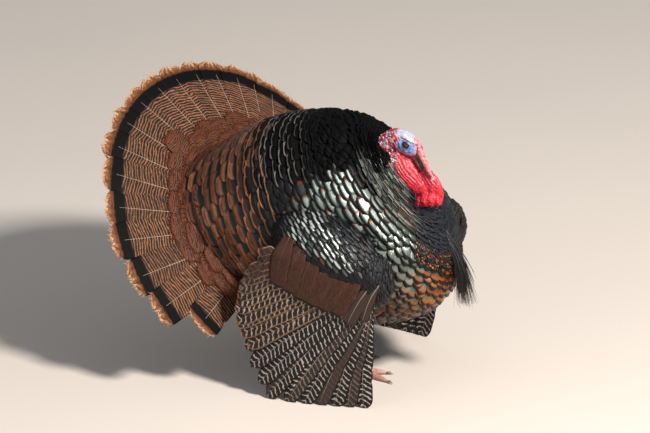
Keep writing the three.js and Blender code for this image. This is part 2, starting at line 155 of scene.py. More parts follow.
def cubic(p1: Array, p2: Array, t1: Array, t2: Array, w: Array) -> Array:
    """Returns the point w of the way from p1 to p2, with those slopes at its ends."""
    return p1 + t1 * w + (3 * (p2 - p1) - 2 * t1 - t2) * w**2 + (2 * (p1 - p2) + t1 + t2) * w**3


def spline(knots: Array, share: Array) -> Array:
    """An evenly spaced Catmull-Rom curve, carried on straight past its ends.

    Args:
        knots: The points that the curve passes through.
        share: 0 at the first one, 1 at the last.

    Returns:
        A point for each share.
    """
    w, (p0, p1, p2, p3) = span(knots, share)
    t1, t2 = (p2 - p0) / 2, (p3 - p1) / 2
    beyond = (share - np.clip(share, 0.0, 1.0))[..., None] * (len(knots) - 1)
    return cubic(p1, p2, t1, t2, w) + beyond * np.where(beyond < 0, t1, t2)


def bend(knots: Array, share: Array) -> Array:
    """A centripetal Catmull-Rom curve through a few points, as the solids' rods follow.

    Args:
        knots: The points that the curve passes through.
        share: 0 at the first one, 1 at the last.

    Returns:
        A point for each share.
    """
    w, (p0, p1, p2, p3) = span(knots, share)
    d0, d1, d2 = (
        np.sqrt(np.linalg.norm(b - a, axis=-1, keepdims=True)) for a, b in ((p0, p1), (p1, p2), (p2, p3))
    )
    t1 = ((p1 - p0) / d0 - (p2 - p0) / (d0 + d1) + (p2 - p1) / d1) * d1
    t2 = ((p2 - p1) / d1 - (p3 - p1) / (d1 + d2) + (p3 - p2) / d2) * d1
    return cubic(p1, p2, t1, t2, w)


# ---------------------------------------------------------------- the bird's frame


@dataclass(frozen=True)
class Stance:
    """Where the bird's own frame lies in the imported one."""

    shift: Array

    @classmethod
    def from_eye(cls) -> "Stance":
        """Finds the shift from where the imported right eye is."""
        low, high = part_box("eye_right")
        middle = np.array((Vector(low) + Vector(high)) / 2) * 1000
        return cls(middle - np.array(RIGHT_EYE))

    def metres(self, points: Array) -> Array:
        """Returns the bird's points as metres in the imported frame."""
        return (points + self.shift) / 1000


# ---------------------------------------------------------------- surfaces that feathers grow on


class Surface(Protocol):
    """A form with p along the lie of its feathers and q across it."""

    def point(self, p: Array, q: Array) -> Array:
        """Returns the place at p, q."""


def slopes(surface: Surface, p: Array, q: Array) -> Pair:
    """Returns how a surface's point moves with p and with q."""
    step = 1e-3
    along = (surface.point(p + step, q) - surface.point(p - step, q)) / (2 * step)
    across = (surface.point(p, q + step) - surface.point(p, q - step)) / (2 * step)
    return along, across


@dataclass(frozen=True)
class TailShape:
    """The dish of the tail fan: how it leans, turns and rolls, and where its quills meet."""

    root: Spot = (-164.0, 0.0, 322.0)
    radius: float = 436.0
    dish: float = 100.0
    lean: float = 36 * DEG
    yaw: float = 14 * DEG
    roll: float = 13.5 * DEG
    spread: float = 84.5 * DEG
    bunch: float = 15 * DEG
    round: float = 0.05
    short_outer: float = 0.18
    clearance: float = 8.0
    inner: float = 62.0

    def axes(self) -> tuple[Array, Array, Array]:
        """Returns the fan's front, up and right directions."""
        turned = Matrix.Rotation(-self.yaw, 3, "Z")
        front = turned @ Vector((math.cos(self.lean), 0, math.sin(self.lean)))
        up = turned @ Vector((-math.sin(self.lean), 0, math.cos(self.lean)))
        up = Matrix.Rotation(self.roll, 3, front) @ up
        return np.array(front), np.array(up), np.array(front.cross(up))

    def place(self, radius: Array, angle: Array, lift: Array) -> Array:
        """Returns the point at a distance from the root and an angle to the right of the middle pair."""
        front, up, right = self.axes()
        behind = self.dish * radius / self.radius + self.clearance
        spokes = np.cos(angle)[..., None] * up + np.sin(angle)[..., None] * right
        return np.array(self.root) + spokes * radius[..., None] + front * (lift - behind)[..., None]

    def middle(self, share: Array) -> Array:
        """Returns the angle of a feather whose place runs from -1, far left, to 1, far right."""
        return self.spread * share + self.bunch * share**2

    def reach(self, share: Array, outer: float) -> Array:
        """Returns how far the feather at that place extends from the root."""
        short = np.where(share > 0, self.short_outer * share**10, 0.0)
        return outer * (1 - self.round * share**2 - short)


@dataclass(frozen=True)
class BodySurface:
    """The plumage from the neck's mouth, p = 0, to the rump, p = 1. q is the angle from the back."""

    tail: TailShape
    back: tuple = (
        (56, 560), (38, 579), (12, 590), (-38, 595), (-98, 588), (-166, 570), (-235, 540), (-307, 493),
    )
    front: tuple = (
        (178, 408), (220, 375), (252, 315), (253, 238), (200, 166), (100, 128), (-5, 128), (-101, 151),
    )
    half: tuple = (46, 84, 126, 162, 186, 200, 204, 200)
    ruff: float = 210.0

    def point(self, p: Array, q: Array, grow: float = 0.0) -> Array:
        """Returns the place at p, q on a form grown outwards."""
        p = np.asarray(p, float)
        back, front = (spline(np.array(line, float), p) for line in (self.back, self.front))
        half = spline(np.array(self.half, float)[:, None], p)[..., 0] + grow
        middle, up = (back + front) / 2, (back - front) / 2
        high = np.cos(q) * (1 + grow / np.linalg.norm(up, axis=-1))
        turn = self.tail.yaw * p**4
        wide = half * np.sin(q)
        ruff = -self.ruff * np.minimum(p, 0)
        x = middle[..., 0] + up[..., 0] * high + np.sin(turn) * wide + 0.78 * ruff
        z = middle[..., 1] + up[..., 1] * high + 0.63 * ruff
        return np.stack([x, np.cos(turn) * wide, z], -1)

    def closed(self, share: Array, angle: Array, grow: float) -> Array:
        """Returns the closed form's point. The share runs from the mouth's middle to the tail's root."""
        lip = 0.1
        p = np.clip((share - lip) / (1 - 2 * lip), 0.0, 1.0)
        ring = self.point(p, angle, grow)
        mouth = (self.point(np.zeros(1), np.zeros(1)) + self.point(np.zeros(1), np.full(1, math.pi))) / 2
        into = np.clip(share / lip, 0, 1)[..., None]
        ring = mouth + (ring - mouth) * into
        ring = ring + np.where(p < 1e-6, 1, 0)[..., None] * np.array([0.8, 0, 0.6]) * grow
        rear = np.clip((1 - share) / lip, 0, 1)[..., None]
        return np.array(self.tail.root) + (ring - np.array(self.tail.root)) * rear


@dataclass(frozen=True)
class RearSurface:
    """The body's rear, under the tail: p runs from the rump's last ring, 0, in to the tail's root, 1."""

    body: BodySurface

    def point(self, p: Array, q: Array) -> Array:
        """Returns the place at p, q."""
        root = np.array(self.body.tail.root)
        ring = self.body.point(np.ones_like(p), q)
        return root + (ring - root) * (1 - np.asarray(p))[..., None]


@dataclass(frozen=True)
class Ellipsoid:
    """An ellipsoid turned about y. p runs from its pole, 0, to the far side, 1, and q round it."""

    centre: Spot
    half: Spot
    turn: float = 0.0
    pole: Spot = (1.0, 0.0, 0.0)
    start: Spot = (0.0, 1.0, 0.0)
    mirrored: bool = False

    def point(self, p: Array, q: Array, grow: float = 0.0) -> Array:
        """Returns the place at p, q on a form grown outwards."""
        pole = unit(np.array(self.pole))
        first = np.array(self.start) - pole * (np.array(self.start) @ pole)
        first = unit(first)
        second = np.cross(pole, first)
        polar, angle = np.asarray(p, float) * math.pi, np.asarray(q, float)
        ring = np.cos(angle)[..., None] * first + np.sin(angle)[..., None] * second
        ball = np.cos(polar)[..., None] * pole + np.sin(polar)[..., None] * ring
        local = ball * (np.array(self.half) + grow)
        cos, sin = math.cos(self.turn), math.sin(self.turn)
        x = local[..., 0] * cos + local[..., 2] * sin
        z = -local[..., 0] * sin + local[..., 2] * cos
        y = -local[..., 1] if self.mirrored else local[..., 1]
        return np.stack([x, y, z], -1) + np.array(self.centre)


def vent_form(**lie: object) -> Ellipsoid:
    """Returns the fluff under the tail, with p and q as told."""
    return Ellipsoid((-206, -6, 244), (84, 112, 98), **lie)


def shoulder_form(side: int, **lie: object) -> Ellipsoid:
    """Returns the pad over one forearm, with p and q as told."""
    return Ellipsoid((38, side * 188, 336), (146, 72, 88), turn=20 * DEG, **lie)


def wrist_form(side: int, **lie: object) -> Ellipsoid:
    """Returns the bend of one wing, with p and q as told."""
    return Ellipsoid((146, side * 196, 294), (48, 44, 66), **lie)


@dataclass(frozen=True)
class WingSurface:
    """The hanging wing. p and q are x and z in millimetres; side is -1 on the right."""

    side: int
    wrist: Span = (172.0, 300.0)
    out: float = 226.0
    splay: float = 34.0
    tuck: float = 15.0
    reach: float = 260.0

    def place(self, x: Array, z: Array, layer: Array) -> Array:
        """Returns the point at x, z, that many millimetres outside the wing's middle surface."""
        rear = np.sin(np.clip((self.wrist[0] - x) / self.reach, 0, 1) * math.pi / 2)
        low = 1 - np.clip(z / self.wrist[1], 0, 1)
        out = self.out + self.splay * rear - self.tuck * low * (1 - rear)
        return np.stack([x, self.side * (out + layer), z], -1)


@dataclass(frozen=True)
class Rod:
    """A round-ended rod along a curve, with its half width and half height at each share of its run."""

    knots: tuple
    radii: Radii
    side: Spot = (0.0, 1.0, 0.0)

    def point(self, share: Array, angle: Array, grow: float = 0.0) -> Array:
        """Returns the place at a share from pole to pole and an angle round the rod."""
        run = (1 - np.cos(share * math.pi)) / 2
        ring = np.sin(share * math.pi)[..., None]
        knots = np.array(self.knots, float)
        forward = unit(bend(knots, np.clip(run + 1e-3, 0, 1)) - bend(knots, np.clip(run - 1e-3, 0, 1)))
        side = np.array(self.side)
        across = unit(side - forward * (forward @ side)[..., None])
        up = np.cross(forward, across)
        wide, tall = (np.asarray(r)[..., None] + grow for r in self.radii(run))
        ends = forward * (grow * (2 * run - 1))[..., None]
        flat = across * wide * ring * np.cos(angle)[..., None]
        return bend(knots, run) + ends + flat + up * tall * ring * np.sin(angle)[..., None]


# ---------------------------------------------------------------- meshes


@dataclass
class Workshop:
    """Turns points into finished pieces that ride on the bird's one body."""

    stance: Stance
    roots: list[Array] = field(default_factory=list)
    tints: list[Array] = field(default_factory=list)

    def note(self, roots: Array, tints: Array) -> None:
        """Remembers where a tract's feathers grow and their tints, for the skin under them."""
        self.roots.append(roots)
        self.tints.append(tints)

    def tint_at(self, points: Array) -> Array:
        """Returns the tint of the feather that grows nearest to each point."""
        roots, tints = np.concatenate(self.roots), np.concatenate(self.tints)
        tree = KDTree(len(roots))
        for i, root in enumerate(roots):
            tree.insert(root, i)
        tree.balance()
        return tints[[tree.find(point)[1] for point in points]]

    def mesh(
        self, name: str, points: Array, faces: Array, values: dict[str, Array], corners: Array | None = None
    ) -> Mesh:
        """Makes a mesh of four-sided faces from arrays of repeated shapes.

        Args:
            name: The mesh's name.
            points: Vertices in millimetres.
            faces: Four vertex numbers a face.
            values: Named values for each vertex: three numbers, or four for a colour.
            corners: The OFBake place of each vertex.

        Returns:
            The mesh, smooth shaded and in metres.
        """
        mesh = bpy.data.meshes.new(name)
        mesh.vertices.add(len(points))
        mesh.vertices.foreach_set("co", self.stance.metres(points).astype(np.float32).ravel())
        loops = faces.astype(np.int32).ravel()
        mesh.loops.add(len(loops))
        mesh.loops.foreach_set("vertex_index", loops)
        mesh.polygons.add(len(faces))
        mesh.polygons.foreach_set("loop_start", np.arange(0, len(loops), 4, dtype=np.int32))
        mesh.polygons.foreach_set("use_smooth", np.ones(len(faces), bool))
        mesh.update(calc_edges=True)
        for key, value in values.items():
            kind = "color" if value.shape[-1] == 4 else "vector"
            layer = mesh.attributes.new(key, f"FLOAT_{kind.upper()}", "POINT")
            layer.data.foreach_set(kind, value.astype(np.float32).ravel())
        if corners is not None:
            unwrap = mesh.uv_layers.new(name="OFBake")
            unwrap.data.foreach_set("uv", corners[loops].astype(np.float32).ravel())
        return mesh

    def place(self, mesh: Mesh, material: Material, slot: str, replaces: Sequence[str] = ()) -> None:
        """Makes a mesh a piece of the bird.

        Args:
            mesh: The piece's mesh.
            material: What it is finished with.
            slot: The record's slot for that finish. It is not used.
            replaces: The solids it stands for.
        """
        piece = bpy.data.objects.new(mesh.name, mesh)
        bpy.context.scene.collection.objects.link(piece)
        mesh.materials.append(material)
        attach(piece, "root")
        if replaces:
            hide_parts(*replaces)
        LOG.info("%s: %d faces", piece.name, len(mesh.polygons))


def ball_mesh(place: RingPlace, around: int, along: int) -> BMesh:
    """Makes a sphere and moves every vertex of it.

    Args:
        place: Gives a point for a share from pole to pole and an angle round the axis.
        around: Segments round the axis.
        along: Segments from pole to pole.

    Returns:
        A closed bmesh that faces outwards, in millimetres.
    """
    bm = bmesh.new()
    bmesh.ops.create_uvsphere(bm, u_segments=around, v_segments=along, radius=1.0)
    unit_points = np.array([vertex.co for vertex in bm.verts])
    share = np.arccos(np.clip(unit_points[:, 2], -1, 1)) / math.pi
    angle = np.arctan2(unit_points[:, 1], unit_points[:, 0])
    for vertex, point in zip(bm.verts, place(share, angle)):
        vertex.co = point
    bmesh.ops.recalc_face_normals(bm, faces=bm.faces[:])
    return bm


def remeshed(parts: Sequence[BMesh], voxel: float) -> Mesh:
    """Melts closed forms into one even skin.

    Args:
        parts: Overlapping closed forms in millimetres, which are freed.
        voxel: The skin's mesh size in millimetres.

    Returns:
        A mesh in millimetres.
    """
    joined = bmesh.new()
    for part in parts:
        loose = bpy.data.meshes.new("loose")
        part.to_mesh(loose)
        part.free()
        joined.from_mesh(loose)
        bpy.data.meshes.remove(loose)
    mesh = bpy.data.meshes.new("melting")
    joined.to_mesh(mesh)
    joined.free()
    holder = bpy.data.objects.new("melting", mesh)
    bpy.context.scene.collection.objects.link(holder)
    melt = holder.modifiers.new("melt", "REMESH")
    melt.mode = "VOXEL"
    melt.voxel_size = voxel
    melt.use_smooth_shade = True
    graph = bpy.context.evaluated_depsgraph_get()
    skin = bpy.data.meshes.new_from_object(holder.evaluated_get(graph), depsgraph=graph)
    bpy.data.objects.remove(holder)
    bpy.data.meshes.remove(mesh)
    return skin


@dataclass(frozen=True)
class VaneTemplate:
    """One thin closed slab: u from -1 to 1 across, v from 0 to 1 along and w from 0, its top, to -1."""

    across: int
    along: int

    def build(self) -> Pair:
        """Returns the slab's (u, v, w) for each vertex, and its four-sided faces."""
        bm = bmesh.new()
        bmesh.ops.create_grid(bm, x_segments=self.across, y_segments=self.along, size=1.0)
        bmesh.ops.solidify(bm, geom=bm.faces[:], thickness=1.0)
        bmesh.ops.recalc_face_normals(bm, faces=bm.faces[:])
        spots = np.array([vertex.co for vertex in bm.verts])
        rings = [[vertex.index for vertex in face.verts] for face in bm.faces]
        bm.free()
        # each face starts at its lowest number, so that every run gives them in one order
        starts = [ring.index(min(ring)) for ring in rings]
        faces = np.array(sorted(ring[k:] + ring[:k] for ring, k in zip(rings, starts)))
        top = spots[:, 2].max()
        return np.stack([spots[:, 0], (spots[:, 1] + 1) / 2, spots[:, 2] - top], -1), faces


class Outline(Enum):
    """How a vane's width runs from quill to tip: its width at the quill, where it is full, its tip."""

    BROAD = (0.35, 0.5, 0.16, 2.6)
    ROUND = (0.35, 0.5, 0.34, 2.0)
    BLADE = (0.45, 0.4, 0.6, 2.0)
    FLIGHT = (0.34, 0.5, 0.12, 2.2)
    TAIL = (0.30, 0.7, 0.075, 2.8)
    SQUARE = (0.6, 0.4, 0.22, 6.0)
    PANEL = (0.6, 0.4, 0.3, 2.4)

    def width(self, v: Array) -> Array:
        """Returns the share of the full width at v."""
        quill, full, tip, power = self.value
        body = quill + (1 - quill) * smooth(v, 0, full)
        into = np.clip((v - (1 - tip)) / tip, 0, 1)
        return body * np.maximum(0.05, 1 - into**power) ** (1 / power)


def tiled(faces: Array, copies: int, size: int) -> Array:
    """Returns the faces of that many copies of a template with that many vertices."""
    steps = np.arange(copies)[:, None, None] * size
    return (faces[None] + steps).reshape(-1, 4)


# ---------------------------------------------------------------- shaders


class Value:
    """One output of a shader's node, which takes plain arithmetic."""

    def __init__(self, shader: "Shader", socket: bpy.types.NodeSocket) -> None:
        """Keeps the output with the shader that it belongs to."""
        self.shader = shader
        self.socket = socket

    def __add__(self, other: object) -> "Value":
        """Returns the sum."""
        return self.shader.math("ADD", self, other)

    def __radd__(self, other: object) -> "Value":
        """Returns the sum, with the plain number first."""
        return self.shader.math("ADD", other, self)

    def __sub__(self, other: object) -> "Value":
        """Returns the difference."""
        return self.shader.math("SUBTRACT", self, other)

    def __rsub__(self, other: object) -> "Value":
        """Returns a plain number less this."""
        return self.shader.math("SUBTRACT", other, self)

    def __mul__(self, other: object) -> "Value":
        """Returns the product."""
        return self.shader.math("MULTIPLY", self, other)

    def __truediv__(self, other: object) -> "Value":
        """Returns the quotient."""
        return self.shader.math("DIVIDE", self, other)

    def __abs__(self) -> "Value":
        """Returns the distance from nought."""
        return self.shader.math("ABSOLUTE", self)

    def most(self, other: object) -> "Value":
        """Returns the greater of the two."""
        return self.shader.math("MAXIMUM", self, other)


class Shader:
    """A node-built material in the making."""

    def __init__(self, name: str, **constants: float | Colour) -> None:
        """Starts a material on one principled surface.

        Args:
            name: The finish's name.
            **constants: The surface's own settings, with _ for each space.
        """
        self.material = bpy.data.materials.new(name)
        self.material.use_nodes = True
        self.tree = self.material.node_tree
        self.tree.nodes.clear()
        self.surface = self.tree.nodes.new("ShaderNodeBsdfPrincipled")
        out = self.tree.nodes.new("ShaderNodeOutputMaterial")
        self.tree.links.new(self.surface.outputs["BSDF"], out.inputs["Surface"])
        for setting, value in constants.items():
            self.surface.inputs[setting.replace("_", " ")].default_value = value

    def feed(self, socket: bpy.types.NodeSocket, value: object) -> None:
        """Links or sets one input. A string is a colour's tone."""
        if isinstance(value, Value):
            self.tree.links.new(value.socket, socket)
            return
        value = linear(value) if isinstance(value, str) else value
        socket.default_value = tuple(map(float, value)) if isinstance(value, np.ndarray) else value

    def node(self, kind: str, output: int | str, feeds: dict[int | str, object], **settings: object) -> Value:
        """Adds a node.

        Args:
            kind: The node's type, without its prefix.
            output: Which of its outputs is wanted.
            feeds: What goes into its inputs.
            **settings: The node's own settings.

        Returns:
            The output.
        """
        node = self.tree.nodes.new(f"ShaderNode{kind}")
        for setting, value in settings.items():
            setattr(node, setting, value)
        for key, value in feeds.items():
            self.feed(node.inputs[key], value)
        return Value(self, node.outputs[output])

    def math(self, operation: str, *values: object) -> Value:
        """Returns the result of one sum."""
        return self.node("Math", 0, dict(enumerate(values)), operation=operation)

    def step(self, value: object, low: float, high: float) -> Value:
        """Returns 0 below low, 1 above high and an even S between."""
        feeds = {"Value": value, "From Min": low, "From Max": high}
        return self.node("MapRange", 0, feeds, interpolation_type="SMOOTHSTEP")

    def mix(self, share: object, first: object, second: object) -> Value:
        """Returns a blend of two colours."""
        return self.node("Mix", 2, {0: share, 6: first, 7: second}, data_type="RGBA")

    def attribute(self, name: str, output: str = "Vector") -> Value:
        """Returns a named value of the mesh."""
        return self.node("Attribute", output, {}, attribute_name=name)

    def split(self, vector: Value) -> list[Value]:
        """Returns a vector's three parts."""
        x = self.node("SeparateXYZ", 0, {0: vector})
        return [Value(self, output) for output in x.socket.node.outputs]

    def joined(self, x: object, y: object, z: object) -> Value:
        """Returns a vector of three parts."""
        return self.node("CombineXYZ", 0, {0: x, 1: y, 2: z})

    def place(self) -> Value:
        """Returns the point's own place in metres."""
        return self.node("TexCoord", "Object", {})

    def noise(self, where: Value, scale: float, detail: float = 2.0) -> Value:
        """Returns a cloudy value from about 0 to 1."""
        return self.node("TexNoise", 0, {"Vector": where, "Scale": scale, "Detail": detail})

    def cells(self, where: Value, scale: float) -> Value:
        """Returns the distance to the nearest of many scattered points."""
        return self.node("TexVoronoi", "Distance", {"Vector": where, "Scale": scale})

    def bump(self, height: Value, depth: float, strength: float) -> None:
        """Raises the surface by a height, in metres."""
        feeds = {"Strength": strength, "Distance": depth, "Height": height}
        self.feed(self.surface.inputs["Normal"], self.node("Bump", 0, feeds))

    def finish(self, **sockets: object) -> Material:
        """Feeds the surface and returns the material."""
        for setting, value in sockets.items():
            self.feed(self.surface.inputs[setting.replace("_", " ")], value)
        return self.material


@dataclass(frozen=True)
class ContourFinish:
    """Small feathers: a glossy band in its own tint, a dark band before the tip and a rim.

    Args:
        name: The finish's name.
        bright_from: Where along the vane the tint begins.
        dark_from: Where the dark band begins.
        rim_from: Where the rim begins.
        side_from: How far out the dark sides begin.
        rough: How rough the band is.
        metal: How metallic the band is.
        barbs: How much the barbs darken the band.
        black: The colour of the dark band.
        gloss: How strongly it reflects.
        end: The colour of the end of the band that is nearer the back, if it has one.
        warm: The colour that the band turns to before the dark one, if it does.
        duller: How much rougher the dark parts are.
        loose: How ragged the barbs make each band's edge.
        bow: How much nearer the root the bands lie at the vane's sides.
    """

    name: str
    bright_from: float = -1.0
    dark_from: float = 0.74
    rim_from: float = 0.95
    side_from: float = 0.9
    rough: float = 0.32
    metal: float = 0.6
    barbs: float = 0.45
    black: str = "#040404"
    gloss: float = 0.35
    end: str | None = None
    warm: str | None = None
    duller: float = 0.22
    loose: float = 0.10
    bow: float = 0.07

    def build(self) -> Material:
        """Returns the finish, which reads the vane, tint and rim of each feather.

        The tint's alpha is how warm the end of the band is.
        """
        shader = Shader(self.name, Specular_IOR_Level=self.gloss)
        u, v, seed = shader.split(shader.attribute("vane"))
        side = abs(u)
        barbs = shader.noise(shader.joined(side * 3.0, v - side, seed), 30.0, 3.0)
        tip = v + (barbs - 0.5) * self.loose + u * u * self.bow
        dark = shader.step(tip, self.dark_from - 0.05, self.dark_from + 0.04)
        dark = dark.most(shader.step(side, self.side_from, 1.0))
        if self.bright_from > 0:
            dark = dark.most(shader.step(tip, self.bright_from + 0.04, self.bright_from - 0.06))
        tint = shader.attribute("tint", "Color")
        if self.end is not None:
            tint = shader.mix(shader.step(u + seed * 0.8, 0.95, 1.35), tint, self.end)
        if self.warm is not None:
            zone = shader.step(tip, self.dark_from - 0.17, self.dark_from - 0.05)
            tint = shader.mix(zone * shader.attribute("tint", "Alpha"), tint, self.warm)
        lit = shader.mix(shader.step(barbs, 0.25, 0.7), shader.mix(self.barbs, tint, self.black), tint)
        rim = shader.step(tip, self.rim_from - 0.02, self.rim_from + 0.02)
        colour = shader.mix(rim, shader.mix(dark, lit, self.black), shader.attribute("rim", "Color"))
        shader.bump(barbs, 0.0005, 0.5)
        clear = 1.0 - dark.most(rim)
        rough = self.rough + self.duller - clear * self.duller
        return shader.finish(Base_Color=colour, Metallic=clear * self.metal, Roughness=rough)


@dataclass(frozen=True)
class QuillFinish:
    """Large feathers crossed by bars, with a pale shaft, and a band and a fringe at the tip.

    Args:
        name: The finish's name.
        ground: The vane's dark colour.
        bar: The colour of its bars.
        shaft: The colour of its shaft.
        period: Millimetres from bar to bar.
        bar_share: How much of a period is bar.
        plain_tone: The colour of a vane without bars.
        slant: How far the bars run back towards the vane's edge, in periods.
        wobble: How unevenly they run.
        soft: How soft their edges are.
        margin_and_gap_shade: The colour along the vane's edges, if it has one: a buff margin where it is
            pale, painted shade between neighbouring feathers where it is near black.
        band: The colour of the band before the tip.
        band_from: Where the band begins, past 1 where there is none.
        tip_bar: The colour of the fine bars between the band and the fringe, if it has any.
        fringe: The colour of the tip.
        fringe_from: Where the tip begins, past 1 where there is none.
        rough: How rough the vane is.
        gloss: How strongly it reflects.
        streak: How much paler a plain vane's streaks are.
        barb_scale: How fine the barbs are.
        fray: The colour of the loose barbs past the tip.
    """

    name: str
    ground: str
    bar: str
    shaft: str
    period: float
    bar_share: float = 0.45
    plain_tone: str = "#33261f"
    slant: float = 0.6
    wobble: float = 0.5
    soft: float = 0.07
    margin_and_gap_shade: str | None = None
    band: str = "#0b0908"
    band_from: float = 2.0
    tip_bar: str | None = None
    fringe: str = "#c9b59b"
    fringe_from: float = 2.0
    rough: float = 0.5
    gloss: float = 0.25
    streak: float = 1.7
    barb_scale: float = 40.0
    fray: str = "#b48e6e"

    def build(self) -> Material:
        """Returns the finish, which reads the vane and kind of each feather.

        The vane holds the place across, the place along and the millimetres along.
        The kind holds a random number, 1 on a shaft and how plain the vane is.
        """
        shader = Shader(self.name, Specular_IOR_Level=self.gloss)
        u, v, run = shader.split(shader.attribute("vane"))
        seed, shaft, plain = shader.split(shader.attribute("kind"))
        side = abs(u)
        cloud = shader.noise(shader.joined(u * 1.3, run * 0.09, seed), 1.6, 3.0) - 0.5
        barbs = shader.noise(shader.joined(side * 2.0, v - side, seed), self.barb_scale, 3.0)
        bars = self.bars(shader, run / self.period - side * self.slant + cloud * (self.wobble * 2), seed)
        bars = bars * shader.step(barbs, 0.2, 0.55) * (1.0 - plain)
        deep = shader.mix(plain, self.ground, self.plain_tone)
        pale = shader.mix(plain, linear(self.ground) * 1.9, linear(self.plain_tone) * self.streak)
        dark = shader.mix(shader.step(barbs, 0.3, 0.8), deep, pale)
        faded = shader.mix(seed * 0.55, self.bar, linear(self.bar) * 0.45)
        colour = shader.mix(bars, dark, faded)
        # a pale edge colour is the feather's own margin; a near-black one is painted shade between
        # neighbouring feathers
        if self.margin_and_gap_shade is not None:
            colour = shader.mix(shader.step(side + cloud * 0.16, 0.8, 0.92), colour, self.margin_and_gap_shade)
        tip = v + (barbs - 0.5) * 0.02
        if self.band_from < 1:
            band = shader.step(tip, self.band_from - 0.01, self.band_from + 0.01)
            colour = shader.mix(band, colour, self.band)
        if self.tip_bar is not None:
            last = shader.step(tip, self.fringe_from - 0.025, self.fringe_from - 0.012)
            fine = shader.step(shader.noise(shader.joined(u, run * 0.5, seed), 3.0), 0.45, 0.6)
            colour = shader.mix(last, colour, shader.mix(fine, self.tip_bar, self.ground))
        if self.fringe_from < 1:
            rim = shader.step(tip, self.fringe_from - 0.004, self.fringe_from + 0.012)
            strands = shader.step(shader.noise(shader.joined(u * 24.0, v, seed), 1.5, 3.0), 0.4, 0.62)
            pale = shader.mix(strands, linear(self.fringe) * 0.4, self.fringe)
            pale = shader.mix(shader.step(v, 0.99, 0.995), pale, self.fray)
            colour = shader.mix(rim, colour, pale)
        colour = shader.mix(shaft, colour, self.shaft)
        shader.bump(barbs, 0.0006, 0.35)
        return shader.finish(Base_Color=colour, Roughness=self.rough)

    def bars(self, shader: Shader, phase: Value, seed: Value) -> Value:
        """Returns 1 on a bar and 0 between bars, for a place along the vane in periods."""
        wave = shader.math("PINGPONG", phase + seed, 0.5)
        edge = 0.5 * (1 - self.bar_share)
        return shader.step(wave, edge - self.soft, edge + self.soft)


# ---------------------------------------------------------------- tracts of small feathers


@dataclass
class FeatherBatch:
    """The feathers of a tract: their roots, sizes in the surface's own measures, and seeds."""

    p: Array
    q: Array
    long: Array
    half: Array
    root: Array
    seed: Array


Painter = Callable[[FeatherBatch], Pair]


